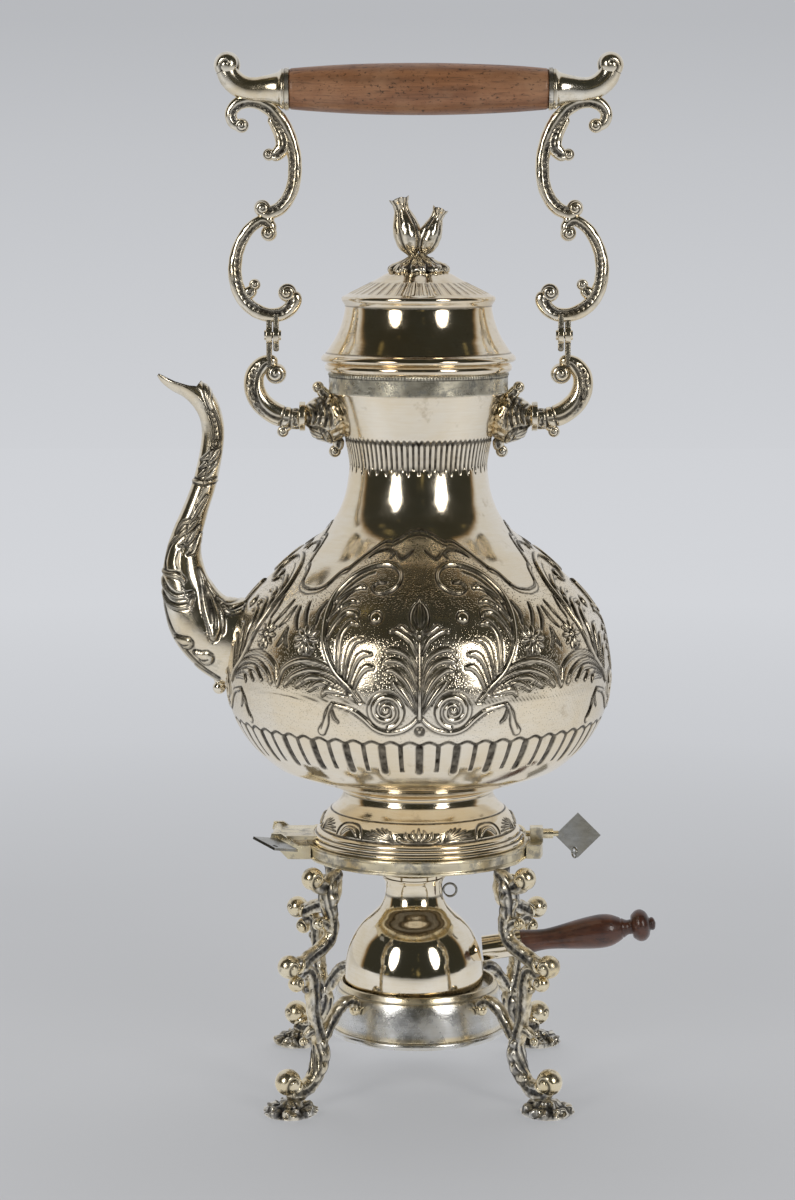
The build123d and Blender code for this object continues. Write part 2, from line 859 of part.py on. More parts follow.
def leg():
    """One cast leg in the XZ plane: C scroll, S scroll, knobs and the branch to the tray."""
    top = ring_top - ring_band_height
    knee_x = leg_knee_reach
    knee_z = leg_knee_height
    ring_x = ring_outer_radius
    pad_x = pad_centre_radius
    upper_rise = top - knee_z
    tray_x = tray_rim_radius

    def low(out, share, radius):
        """A station of the lower scroll, in from the pad's centre and up from the floor."""
        return (pad_x - out, share * knee_z, radius)

    upper = limb([
        (ring_x - 0.9, top - 1.2, 2.2),
        (ring_x + 2.5, top - 2.2, 2.8),
        (ring_x + 4.7, top - 6.0, 2.9),
        (ring_x + 4.6, top - 12.0, 2.8),
        (ring_x + 3.3, knee_z + 0.475 * upper_rise, 2.7),
        (ring_x + 4.3, knee_z + 0.320 * upper_rise, 2.7),
        (knee_x - 7.6, knee_z + 8.0, 2.7),
        (knee_x - 1.4, knee_z + 5.2, 2.7),
        (knee_x + 4.4, knee_z + 3.0, 2.6),
        (knee_x + 8.0, knee_z + 3.2, 2.4),
    ])
    lower = limb([
        (knee_x + 4.0, knee_z - 2.4, 2.3),
        (knee_x, knee_z, 2.6),
        (knee_x - 2.6, knee_z - 4.4, 2.7),
        low(11.6, 0.795, 2.6),
        low(12.7, 0.643, 2.6),
        low(14.6, 0.517, 2.8),
        low(16.3, 0.405, 2.9),
        low(15.2, 0.295, 2.9),
        (pad_x - 11.0, pad_thickness + 6.0, 2.9),
        (pad_x - 5.2, pad_thickness + 2.8, 2.7),
        (pad_x - 1.0, pad_thickness + 3.4, 2.4),
    ])
    branch = limb([
        low(14.6, 0.444, 2.2),
        (tray_x + 12.7, tray_ledge_height - 4.8, 2.3),
        (tray_x + 8.3, tray_ledge_height + 0.2, 2.4),
        (tray_x + 3.9, tray_ledge_height + 3.0, 2.3),
        (tray_x + 0.3, tray_ledge_height + 2.4, 2.2),
        (tray_x - 1.9, tray_ledge_height, 2.2),
    ])
    knobs = [
        limb([
            (ring_x + 4.3, top - 4.6, 2.2),
            (ring_x + 8.1, top - 4.0, 2.3),
            (ring_x + 11.3, top - 2.4, 2.4),
        ]),
        ball(ring_x + 12.7, top - 1.4, 4.3),
        limb([
            (ring_x + 4.3, knee_z + 0.392 * upper_rise, 2.0),
            (ring_x + 7.1, knee_z + 0.492 * upper_rise, 2.0),
            (ring_x + 9.7, knee_z + 0.497 * upper_rise, 1.8),
        ]),
        ball(ring_x + 10.1, knee_z + 0.481 * upper_rise, 2.1),
        ball(knee_x + 8.7, knee_z + 4.0, 4.2),
        ball(knee_x + 5.0, knee_z - 3.2, 3.0),
        limb([low(13.8, 0.560, 2.0), low(10.4, 0.556, 1.9), low(7.6, 0.525, 1.3)]),
        ball(pad_x + 1.0, pad_thickness + 8.3, 4.9),
    ]
    whole = fused([upper, lower, branch, *knobs])
    band = turned(("line", [(ring_outer_radius, top), (ring_outer_radius, ring_top)]))
    return whole - band - tray_outside() - foot_pad()


def tray_wall_points():
    """The tray's domed outer wall from its rim up to the lip."""
    low = (tray_rim_radius - 1.3, tray_bottom + tray_rim_height)
    high = (tray_inner_radius() + tray_wall, tray_lip_height)
    return between(low, high, [(0.17, 0.27), (0.42, 0.62), (0.70, 0.86)])


def tray_inner_radius():
    return font_radius + burner_play


def tray_outside():
    return turned(
        ("line", [(tray_rim_radius, tray_bottom), (tray_rim_radius, tray_bottom + tray_rim_height),
                  tray_wall_points()[0]]),
        ("curve", tray_wall_points()),
    )


def tray():
    """The dish under the burner: domed wall, lip, inner wall and the ledge the burner rests on."""
    outer = tray_wall_points()
    under = inset(outer, tray_wall)
    under[0] = (outer[0][0] - tray_wall, outer[0][1])
    under[-1] = (outer[-1][0] - tray_wall, tray_lip_height)
    dome = turned(("curve", outer)) - turned(("curve", under))
    inner = tray_inner_radius()
    ledge = turned_ring([
        (inner, tray_lip_height),
        (inner, tray_ledge_height),
        (tray_hole_radius, tray_ledge_height),
        (tray_hole_radius, tray_ledge_height - tray_wall),
        (inner + tray_wall, tray_ledge_height - tray_wall),
        (inner + tray_wall, tray_lip_height),
    ])
    return (dome + ledge) & tray_outside()


def tray_rim():
    """The wire soldered round the bottom of the tray."""
    inner = tray_wall_points()[0][0] - tray_wall
    low = tray_bottom
    high = low + tray_rim_height
    nose = tray_rim_height * 0.3
    return turned_ring([
        (inner, low),
        (tray_rim_radius - nose, low),
        (tray_rim_radius, low + nose),
        (tray_rim_radius, high - nose),
        (tray_rim_radius - nose, high),
        (inner, high),
    ])


# Burner

def font_points():
    """The spirit font's outline from its bottom edge up its shoulder to the neck's lip."""
    low = (font_radius - 0.9, font_bottom)
    wide = (font_radius, font_bottom + 13.5)
    neck = (font_neck_radius, font_bottom + 40.2)
    lip = (font_lip_radius, font_top)
    side = between(low, wide, [(0.6, 0.3)])
    shoulder = between(wide, neck, [(0.03, 0.22), (0.12, 0.44), (0.33, 0.66), (0.68, 0.83),
                                    (0.93, 0.93)])
    mouth = between(neck, lip, [(0.35, 0.55)])
    return side + shoulder[1:] + mouth[1:]


def burner_font():
    outline = font_points()
    hollow = inset(outline, font_wall)
    hollow[0] = (hollow[0][0], font_bottom + font_wall)
    hollow[-1] = (font_lip_radius - font_wall, font_top)
    return Pos(burner_offset, 0, 0) * (turned(("curve", outline)) - turned(("curve", hollow)))


def font_solid():
    return Pos(burner_offset, 0, 0) * turned(("curve", font_points()))


def wick_holder():
    """The loose plug in the font's neck, with the tube that the wick comes up through."""
    seat = font_top + seat_gap
    flange = turned_ring([
        (wick_radius + plug_gap, seat),
        (wick_flange_radius, seat),
        (wick_flange_radius, seat + wick_flange_thickness),
        (wick_radius + plug_gap, seat + wick_flange_thickness),
    ])
    low = seat - wick_plug_depth
    plug = turned_ring([
        (wick_plug_radius - font_wall, low),
        (wick_plug_radius, low),
        (wick_plug_radius, seat),
        (wick_plug_radius - font_wall, seat),
    ])
    high = seat + wick_flange_thickness + wick_tube_height
    tube = turned_ring([
        (wick_radius + plug_gap, low),
        (wick_tube_radius, low),
        (wick_tube_radius, high),
        (wick_radius + plug_gap, high),
    ])
    return Pos(burner_offset, 0, 0) * fused([flange, plug, tube])


def wick():
    seat = font_top + seat_gap + wick_flange_thickness + wick_tube_height
    high = seat + wick_top
    low = font_bottom + 4 * font_wall
    return Pos(burner_offset, 0, (low + high) / 2) * Cylinder(wick_radius, high - low)


def burner_eye():
    """The wire ring soldered to the font's neck."""
    reach = font_neck_radius + eye_ring_radius + eye_wire_radius
    height = font_bottom + 40.2
    ring = Pos(reach, 0, height) * Rot(90, 0, 0) * Torus(eye_ring_radius, eye_wire_radius)
    return Pos(burner_offset, 0, 0) * ring - font_solid()


def handle_place():
    """The handle's own frame: local Z runs along it, from its root outwards."""
    reach = burner_offset + handle_root_reach
    return Pos(reach, 0, handle_root_height) * Rot(0, 90 - handle_rise, 0)


def handle_socket():
    """The plated socket between the font and the wooden handle."""
    length = handle_root_reach - font_radius + 5.0
    tube = Pos(0, 0, -length / 2) * Cylinder(socket_radius, length)
    bead = Pos(0, 0, -0.8) * Cylinder(socket_radius + 0.4, 1.6)
    bore = Pos(0, 0, -length / 2) * Cylinder(tang_radius, length)
    return handle_place() * (tube + bead - bore) - font_solid()


def handle_tang():
    """The rod that runs from the socket into the wood."""
    rod = Pos(0, 0, tang_length / 2 - tang_depth) * Cylinder(tang_radius, tang_length)
    return handle_place() * rod - font_solid()


def burner_handle():
    """The turned wooden handle with its end knob."""
    wide = handle_radius
    outline = [
        (wide * 0.77, 0.0),
        (wide * 0.62, handle_length * 0.19),
        (wide * 0.80, handle_length * 0.37),
        (wide, handle_length * 0.58),
        (wide * 0.86, handle_length * 0.69),
        (wide * 0.46, handle_length * 0.785),
    ]
    knob = [
        outline[-1],
        (wide * 0.46, handle_length * 0.815),
        (wide * 0.72, handle_length * 0.83),
        (wide * 0.92, handle_length * 0.86),
        (wide * 0.92, handle_length * 0.91),
        (wide * 0.62, handle_length * 0.945),
        (wide * 0.36, handle_length * 0.96),
        (wide * 0.34, handle_length * 0.99),
        (wide * 0.22, handle_length),
    ]
    return handle_place() * turned(("curve", outline), ("line", knob)) - handle_tang()


# Hinge pin and lock bolt

def hinge_pin():
    """The pin through the tongue's barrel and both lugs."""
    end = lug_far + pin_radius
    pin = rod_y(-hinge_reach, hinge_height, pin_radius, -lug_far - 1.5, end)
    tip = Pos(-hinge_reach, end, hinge_height) * Sphere(pin_radius)
    return pin + tip


def thumb_plate(hole_place):
    """A square plate stood on its corner in the XZ plane, with a hole for a chain."""
    square = Rot(0, 45, 0) * Box(thumb_plate_side, thumb_plate_thickness, thumb_plate_side)
    drill = Rot(90, 0, 0) * Cylinder(chain_hole_radius, 4 * thumb_plate_thickness)
    return square - Pos(hole_place[0], 0, hole_place[1]) * drill


def hinge_thumb_plate():
    """The hinge pin's plate, lying nearly flat in front of the lugs."""
    flat = Rot(90, 0, 0) * thumb_plate((0, plate_reach - chain_hole_inset))
    place = Pos(-hinge_reach, -lug_far - side_gap - plate_reach, hinge_height)
    return place * Rot(0, thumb_plate_tilt, 0) * flat - hinge_pin()


def lock_bolt():
    """The bolt, drawn back: a thin tip, a thick shank in the lug and a neck to its plate."""
    front = bolt_back - bolt_shank_length
    tip_end = foot_flange_radius + bolt_gap
    shank = rod_x(front, bolt_back, bolt_shank_radius, bolt_height)
    tip = rod_x(tip_end, front, bolt_tip_radius, bolt_height)
    neck = rod_x(bolt_back, bolt_back + 2.0, bolt_tip_radius, bolt_height)
    return shank + tip + neck


def bolt_thumb_plate():
    """The lock bolt's plate, standing upright and facing the front."""
    plate = thumb_plate((-chain_hole_side, -plate_reach + chain_hole_inset))
    return bolt_plate_place() * plate - lock_bolt()


def chain_ring():
    """The small wire ring left in the bolt plate's hole."""
    ring = Rot(0, 0, 25) * Rot(0, 90, 0) * Torus(chain_ring_radius, chain_ring_wire)
    drop = chain_ring_radius - chain_hole_radius / 2
    hole = Pos(-chain_hole_side, 0, -plate_reach + chain_hole_inset - drop)
    return bolt_plate_place() * hole * ring


def bolt_plate_place():
    """Where the lock bolt's plate has its middle, behind the bolt's neck."""
    return Pos(bolt_back + thumb_plate_gap + plate_reach, 0, bolt_height - 0.6)


def build():
    nodes = {
        "kettle_body": kettle_body(),
        "mouth_collar": mouth_collar(),
        "mouth_bead": mouth_bead(),
        "kettle_foot": kettle_foot(),
        "foot_base_ring": foot_base_ring(),
        "spout": spout(),
        "bail_bracket_left": bail_bracket(),
        "bail_bracket_right": mirrored(bail_bracket()),
        "bail_rivets": bail_rivets(),
        "hinge_tongue": hinge_tongue(),
        "lid_shell": lid_shell(),
        "lid_bezel": lid_bezel(),
        "finial_leaves": finial_leaves_ring(),
        "finial_buds": finial_buds(),
        "finial_screw": finial_screw(),
        "finial_nut": finial_nut(),
        "bail_scroll_left": bail_scroll(),
        "bail_scroll_right": mirrored(bail_scroll()),
        "bail_ferrule_left": ferrule(),
        "bail_ferrule_right": mirrored(ferrule()),
        "bail_grip": grip(),
        "grip_rod": grip_rod(),
        "grip_beads": grip_beads(),
        "stand_ring": stand_ring(),
        "hinge_lugs": hinge_lugs(),
        "bolt_lug": bolt_lug(),
        "tray": tray(),
        "tray_rim": tray_rim(),
        "burner_font": burner_font(),
        "burner_eye": burner_eye(),
        "handle_socket": handle_socket(),
        "handle_tang": handle_tang(),
        "burner_handle": burner_handle(),
        "wick_holder": wick_holder(),
        "wick": wick(),
        "hinge_pin": hinge_pin(),
        "hinge_thumb_plate": hinge_thumb_plate(),
        "lock_bolt": lock_bolt(),
        "bolt_thumb_plate": bolt_thumb_plate(),
        "chain_ring": chain_ring(),
    }
    one_leg = leg()
    one_pad = foot_pad()
    for place, angle in leg_angles.items():
        nodes["leg_" + place] = Rot(0, 0, angle) * one_leg
        nodes["foot_pad_" + place] = Rot(0, 0, angle) * one_pad
    return nodes


nodes = build()
boxes = [node.bounding_box() for node in nodes.values()]
axis_shift = -(min(box.min.X for box in boxes) + max(box.max.X for box in boxes)) / 2
print("kettle axis lies at x =", round(axis_shift, 4))
os.makedirs("parts", exist_ok=True)
for name, node in nodes.items():
    export_step(Pos(axis_shift, 0, 0) * node, "parts/" + name + ".step")
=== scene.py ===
from math import atan2, cos, pi, radians, sin

import bpy
import numpy as np
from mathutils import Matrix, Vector


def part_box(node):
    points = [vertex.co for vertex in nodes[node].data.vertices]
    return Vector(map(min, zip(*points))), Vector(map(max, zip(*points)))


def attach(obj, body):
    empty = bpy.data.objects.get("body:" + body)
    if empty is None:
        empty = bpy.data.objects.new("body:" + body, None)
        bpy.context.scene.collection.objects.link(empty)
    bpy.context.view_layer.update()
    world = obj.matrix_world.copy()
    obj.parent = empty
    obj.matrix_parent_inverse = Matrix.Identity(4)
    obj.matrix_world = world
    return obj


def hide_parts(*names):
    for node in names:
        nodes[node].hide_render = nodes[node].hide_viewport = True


# A silver-plated spirit kettle with a swing bail, on its burner stand.
# Shapes are drawn in millimetres about the kettle's upright axis, the spout to -X and the
# front to -Y, and go into the frame in metres.

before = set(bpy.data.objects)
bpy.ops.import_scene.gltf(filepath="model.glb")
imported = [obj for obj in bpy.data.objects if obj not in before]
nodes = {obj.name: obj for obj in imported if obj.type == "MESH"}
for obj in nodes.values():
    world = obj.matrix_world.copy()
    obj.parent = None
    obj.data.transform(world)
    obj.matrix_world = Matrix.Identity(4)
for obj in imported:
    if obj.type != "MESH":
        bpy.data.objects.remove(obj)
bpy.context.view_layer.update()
mm = 0.001


def boxOf(node):
    low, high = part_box(node)
    return np.array(low) / mm, np.array(high) / mm


def middleOf(node, axis):
    low, high = boxOf(node)
    return (low[axis] + high[axis]) / 2


axisX = middleOf("mouth_collar", 0)  # the kettle's axis in the frame
bodyLow, mouthTop = (corner[2] for corner in boxOf("kettle_body"))
ringLow, ringTop = (corner[2] for corner in boxOf("stand_ring"))
gripHeight, pivotHeight = middleOf("bail_grip", 2), middleOf("bail_rivets", 2)
fontLow = boxOf("burner_font")[0][2]
print("frame loaded, kettle axis at", round(axisX, 3), "mm")


# Lines and outlines

def curveThrough(points, step=0.5):  # a smooth line, sampled about every step
    p = np.array(points, float)
    p = np.vstack([2 * p[0] - p[1], p, 2 * p[-1] - p[-2]])
    out = []
    for a, b, c, d in zip(p[:-3], p[1:-2], p[2:-1], p[3:]):
        count = max(1, int(np.ceil(np.linalg.norm((c - b)[:2]) / step)))
        for t in np.arange(count) / count:
            out.append(0.5 * (2 * b + (c - a) * t + (2 * a - 5 * b + 4 * c - d) * t ** 2
                              + (3 * b - 3 * c + d - a) * t ** 3))
    out.append(p[-2])
    return np.array(out)


def straightThrough(points, step=1.0):
    p = np.array(points, float)
    out = [p[:1]]
    for a, b in zip(p[:-1], p[1:]):
        count = max(1, int(np.ceil(np.linalg.norm(b - a) / step)))
        out.append(a + (b - a) * (np.arange(1, count + 1) / count)[:, None])
    return np.vstack(out)


def softened(points, radius=0.4, step=1.0):  # straight runs whose corners are rounded over
    p = np.array(points, float)
    out = [p[0]]
    for a, b, c in zip(p[:-2], p[1:-1], p[2:]):
        before, after = np.linalg.norm(a - b), np.linalg.norm(c - b)
        start = b + (a - b) * min(radius, 0.45 * before) / before
        end = b + (c - b) * min(radius, 0.45 * after) / after
        for t in (0, 0.25, 0.5, 0.75, 1):
            out.append((1 - t) ** 2 * start + 2 * t * (1 - t) * b + t * t * end)
    out.append(p[-1])
    return straightThrough(out, step)


def chained(*runs):  # runs end to end, without the doubled points
    out = [np.array(runs[0], float)]
    for run in runs[1:]:
        run = np.array(run, float)
        near = np.linalg.norm(run[0] - out[-1][-1]) < 1e-6
        out.append(run[1:] if near else run)
    return np.vstack(out)


def squareTo(line):  # unit normals, on the right of the way the line runs
    along = np.gradient(line[:, :2], axis=0)
    along /= np.maximum(np.linalg.norm(along, axis=1), 1e-9)[:, None]
    return np.stack([along[:, 1], -along[:, 0]], 1)


def distanceAlong(line):
    return np.concatenate([[0], np.cumsum(np.linalg.norm(np.diff(line[:, :2], axis=0), axis=1))])


def walled(outline, wall, step=3.0):  # the outline outside, and its wall's inside on the way back
    inside = outline[:, :2] - squareTo(outline) * wall
    keep = np.concatenate([[True], np.floor(distanceAlong(outline)[1:] / step)
                           != np.floor(distanceAlong(outline)[:-1] / step)])
    keep[-1] = True
    inside = inside[keep][::-1]
    inside[:, 0] = np.maximum(inside[:, 0], 0.0)
    return chained(outline[:, :2], inside)


def rippled(points, size, seed, waves=14):  # a smooth random field over points, about -1 to 1
    draw = np.random.default_rng(seed)
    total = np.zeros(points.shape[:-1])
    for _ in range(waves):
        way = draw.normal(size=3)
        way *= 2 * pi / (size * draw.uniform(0.7, 1.6)) / np.linalg.norm(way)
        total += np.sin(points @ way + draw.uniform(0, 2 * pi))
    return total / 4.0


def pointsOf(*parts):  # three coordinates, brought to one shape
    return np.stack(np.broadcast_arrays(*parts), -1)


def pointsAround(outline, angles):
    turn, radius = np.radians(angles)[None], outline[:, :1]
    return pointsOf(radius * np.sin(turn), radius * np.cos(turn), outline[:, 1:2])


def bell(value, width, power=2):  # 1 where value is 0, falling off over width to both sides
    return np.exp(-(value / width) ** power)


def partOf(value, start, over=1):  # 0 up to start, and 1 from over further on
    return np.clip((value - start) / over, 0, 1)


# Meshes: a shape is a dictionary of verts, quads, tris and per-vertex marks

markNames = ("dark", "matte", "hatch", "gilt")


def shapeOf(verts, quads, tris=None, **marks):
    verts = np.asarray(verts, float).reshape(-1, 3)
    full = {key: np.zeros(len(verts)) for key in markNames}
    for key, value in marks.items():
        full[key] = np.broadcast_to(np.asarray(value, float).ravel(), len(verts)).copy()
    return {
        "verts": verts,
        "quads": np.asarray(quads, np.int64).reshape(-1, 4),
        "tris": np.zeros((0, 3), np.int64) if tris is None else np.asarray(tris, np.int64),
        "marks": full,
    }


def joined(shapes):
    start, quads, tris = 0, [], []
    for shape in shapes:
        quads.append(shape["quads"] + start)
        tris.append(shape["tris"] + start)
        start += len(shape["verts"])
    marks = {key: np.concatenate([s["marks"][key] for s in shapes]) for key in markNames}
    verts = np.vstack([s["verts"] for s in shapes])
    return {"verts": verts, "quads": np.vstack(quads), "tris": np.vstack(tris), "marks": marks}


def gridFaces(rows, columns, wrapRows=False, wrapColumns=True):
    r = np.arange(rows if wrapRows else rows - 1)
    c = np.arange(columns if wrapColumns else columns - 1)
    r, c = np.meshgrid(r, c, indexing="ij")
    r2, c2 = (r + 1) % rows, (c + 1) % columns
    return np.stack([r * columns + c, r * columns + c2, r2 * columns + c2, r2 * columns + c],
                    -1).reshape(-1, 4)


def makePiece(name, shapes, material, body, replaces=()):
    shape = joined(shapes if isinstance(shapes, list) else [shapes])
    verts = (shape["verts"] + [axisX, 0, 0]) * mm
    quads, tris = shape["quads"], shape["tris"]
    mesh = bpy.data.meshes.new(name)
    mesh.vertices.add(len(verts))
    mesh.vertices.foreach_set("co", verts.astype(np.float32).ravel())
    corners = np.concatenate([quads.ravel(), tris.ravel()])
    mesh.loops.add(len(corners))
    mesh.loops.foreach_set("vertex_index", corners.astype(np.int32))
    starts = np.concatenate([np.arange(len(quads)) * 4, len(quads) * 4 + np.arange(len(tris)) * 3])
    mesh.polygons.add(len(starts))
    mesh.polygons.foreach_set("loop_start", starts.astype(np.int32))
    mesh.polygons.foreach_set("use_smooth", np.ones(len(starts), bool))
    for key, values in shape["marks"].items():
        layer = mesh.attributes.new(key, "FLOAT", "POINT")
        layer.data.foreach_set("value", values.astype(np.float32))
    mesh.update(calc_edges=True)
    mesh.validate()
    mesh.materials.append(material)
    piece = bpy.data.objects.new(name, mesh)
    bpy.context.scene.collection.objects.link(piece)
    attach(piece, body)
    if replaces:
        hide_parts(*replaces)
    return piece


def dressNodes(material, *names):  # solids whose shape is right keep it
    for name in names:
        nodes[name].data.materials.clear()
        nodes[name].data.materials.append(material)


def lathe(outline, columns, surface=None, closed=False):
    # outline is (radius, height); angle 0 is the front, growing towards the handle side;
    # surface(angles, along, outline) gives how far each spot stands out, and its marks
    outline = np.array(outline, float)
    normal = squareTo(outline)
    if closed:
        normal = squareTo(np.vstack([outline[-1:], outline, outline[:1]]))[1:-1]
    angles = np.arange(columns) * 360.0 / columns
    lift, marks = surface(angles, distanceAlong(outline), outline) if surface else (0, {})
    lift = lift + np.zeros((len(outline), columns))
    radius = outline[:, :1] + lift * normal[:, :1]
    height = outline[:, 1:2] + lift * normal[:, 1:]
    turn = np.radians(angles)[None]
    points = pointsOf(radius * np.sin(turn), -radius * np.cos(turn), height)
    marks = {key: np.broadcast_to(value, radius.shape) for key, value in marks.items()}
    last = len(outline) - 1
    poles = [row for row in (0, last) if outline[row, 0] < 1e-4 and not closed]
    low, high = int(0 in poles), last + (last not in poles)
    verts, tris = [points[low:high].reshape(-1, 3)], []
    values = {key: [value[low:high].ravel()] for key, value in marks.items()}
    ring = np.arange(columns)
    for row in poles:
        pole = np.full(columns, sum(len(part) for part in verts))
        verts.append([[0, 0, outline[row, 1]]])
        for key in values:
            values[key].append([marks[key][row].mean()])
        base = 0 if row == 0 else (high - low - 1) * columns
        a, b = base + ring, base + (ring + 1) % columns
        tris.append(np.stack([b, a, pole] if row == 0 else [a, b, pole], 1))
    made = {key: np.concatenate(parts) for key, parts in values.items()}
    quads = gridFaces(high - low, columns, wrapRows=closed)
    return shapeOf(np.vstack(verts), quads, np.vstack(tris) if tris else None, **made)


def placed(shape, origin=(0, 0, 0), x=(1, 0, 0), y=(0, 1, 0), z=(0, 0, 1)):
    axes = np.array([x, y, z], float)
    way = -1 if np.linalg.det(axes) < 0 else 1  # a mirror image has its faces turned round
    return {"verts": shape["verts"] @ axes + np.array(origin, float), "marks": shape["marks"],
            "quads": shape["quads"][:, ::way], "tris": shape["tris"][:, ::way]}


def alongX(shape, height):  # a turned shape laid down, its axis along X
    return placed(shape, (0, 0, height), (0, 0, -1), (0, 1, 0), (1, 0, 0))


def spun(shape, angle):  # about the kettle's axis, anticlockwise from above
    a = radians(angle)
    return placed(shape, x=(cos(a), sin(a), 0), y=(-sin(a), cos(a), 0))


def sweep(stations, sides, section=None, step=0.45, closeEnds=True):
    # stations are (out, up, radius) in the XZ plane; section(phi, along, total) gives how far
    # the surface reaches square to the line and in depth, as shares of the radius, and its marks
    line = curveThrough(stations, step)
    path, radius = line[:, :2], np.maximum(line[:, 2:], 0.05)
    along = distanceAlong(path)[:, None]
    total = along[-1, 0]
    if closeEnds:  # round both ends over
        for end in [partOf(way, 0, radius) for way in (along, total - along)]:
            radius = radius * np.sqrt(np.clip(1 - (1 - end) ** 2, 0.0008, 1))
    across = squareTo(path)
    phi = np.arange(sides)[None] * 2 * pi / sides
    n, y, marks = np.cos(phi), -np.sin(phi), {}
    if section:
        n, y, marks = section(phi, along, total)
    n, y = n * radius, y * radius
    points = pointsOf(path[:, :1] + n * across[:, :1], y, path[:, 1:2] + n * across[:, 1:])
    ring = np.arange(sides)
    after, count = (ring + 1) % sides, len(path) * sides
    last = count - sides
    tris = np.vstack([np.stack([after, ring, np.full(sides, count)], 1),
                      np.stack([last + ring, last + after, np.full(sides, count + 1)], 1)])
    caps = [[path[end, 0], 0, path[end, 1]] for end in (0, -1)]
    made = {key: np.concatenate([np.broadcast_to(v, n.shape).ravel(), [0, 0]]) for key, v in marks.items()}
    return shapeOf(np.vstack([points.reshape(-1, 3), caps]), gridFaces(len(path), sides), tris, **made)


def ball(radius, sides=40):
    t = np.linspace(-pi / 2, pi / 2, sides // 2 + 1)
    outline = np.stack([np.cos(t) * radius, np.sin(t) * radius], 1)
    outline[0, 0] = outline[-1, 0] = 0
    return lathe(outline, sides)


# Chased ornament: strokes drawn on a flat sheet, across by up, then wrapped onto a surface

class Sheet:
    def __init__(self, across, up, perAcross, grain=6.0):
        self.left, self.right = across
        self.low, self.high = up
        self.perAcross, self.grain = perAcross, grain
        wide = int((self.right - self.left) * perAcross * grain) + 1
        tall = int((self.high - self.low) * grain) + 1
        self.x = np.linspace(self.left, self.right, wide) * perAcross
        self.y = np.linspace(self.low, self.high, tall)
        self.height = np.zeros((tall, wide))
        self.layers = {key: np.zeros((tall, wide)) for key in markNames}

    def near(self, points, widths, margin):
        # distance to the stroke less its half width there, and that half width
        line = np.array(points, float)
        w = np.interp(np.linspace(0, 1, len(line)), np.linspace(0, 1, len(widths)), widths)
        line = np.column_stack([line[:, 0] * self.perAcross, line[:, 1], w])
        line = curveThrough(line, 0.35) if len(line) > 1 else line
        line[:, 2] = np.maximum(line[:, 2], 0.02)
        reach = line[:, 2].max() + margin
        c0, c1 = np.searchsorted(self.x, [line[:, 0].min() - reach, line[:, 0].max() + reach])
        r0, r1 = np.searchsorted(self.y, [line[:, 1].min() - reach, line[:, 1].max() + reach])
        if c1 <= c0 or r1 <= r0:
            return None
        gx, gy = np.meshgrid(self.x[c0:c1], self.y[r0:r1])
        best, width = np.full(gx.shape, 1e9), np.ones(gx.shape)
        for px, py, pw in line:
            d = np.hypot(gx - px, gy - py) - pw
            closer = d < best
            best[closer] = d[closer]
            width[closer] = pw
        return (slice(r0, r1), slice(c0, c1)), best, width


    def raised(self, points, widths, lift=0.5, edge=0.3, depth=0.25, dark=1.0):
        # a rounded ridge in a darkened groove; it covers what lies under it
        found = self.near(points, widths, 3 * edge)
        if not found:
            return
        spot, away, width = found
        inside, covered = partOf(-away, 0, width), away < 0
        height = self.height[spot]
        height[covered] = 0
        height += lift * np.sqrt(np.clip(1 - (1 - inside) ** 2, 0, 1)) * covered
        rim = bell(away, edge)
        height -= depth * rim
        for key, layer in self.layers.items():
            layer[spot][covered] *= 0.15 if key == "dark" else 0.0
        shade = self.layers["dark"][spot]
        np.maximum(shade, dark * rim, out=shade)

    def scored(self, points, width=0.25, depth=0.25, dark=1.0, taper=True):
        found = self.near(points, [width * 0.5, width, width * 0.4] if taper else [width], width)
        if not found:
            return
        spot, away, _ = found
        cut = bell(np.maximum(away, 0), 0.5 * width + 0.08)
        self.height[spot] -= depth * cut
        shade = self.layers["dark"][spot]
        np.maximum(shade, dark * cut, out=shade)

    def lobe(self, points, wide, root, lift):  # a petal or a leaf, with a vein
        self.raised(points, [root, wide * 0.75, wide, wide * 0.55], lift)
        tip = tuple(np.array(points[-1]) * 0.6 + np.array(points[-2]) * 0.4)
        self.scored(points[:-1] + [tip], 0.16, 0.12, 0.75)

    def dot(self, centre, radius, lift, edge, depth, dark=1.0):
        self.raised([centre, (centre[0] + 0.1, centre[1])], [radius, radius], lift, edge, depth, dark)

    def sampled(self, key, across, up):  # across and up are brought to one shape
        grid = self.height if key == "height" else self.layers[key]
        tall, wide = grid.shape
        x = partOf(across, self.left, self.right - self.left) * (wide - 1)
        y = partOf(up, self.low, self.high - self.low) * (tall - 1)
        c, r = np.minimum(x.astype(int), wide - 2), np.minimum(y.astype(int), tall - 2)
        x, y = x - c, y - r
        low = grid[r, c] * (1 - x) + grid[r, c + 1] * x
        high = grid[r + 1, c] * (1 - x) + grid[r + 1, c + 1] * x
        return low * (1 - y) + high * y


def eachOf(stroke, lines, *numbers):
    for line in lines:
        stroke(line, *numbers)


def foldedAngle(angles, repeat=90.0):  # the ornament repeats, and each repeat is mirrored
    return np.abs((angles + repeat / 2) % repeat - repeat / 2)


def circle(centre, radius, count, perAcross):
    turns = [2 * pi * i / count for i in range(count + 1)]
    return [(centre[0] + radius * cos(a) / perAcross, centre[1] + radius * sin(a)) for a in turns]


# Materials, all from nodes, in the real scale of the surface

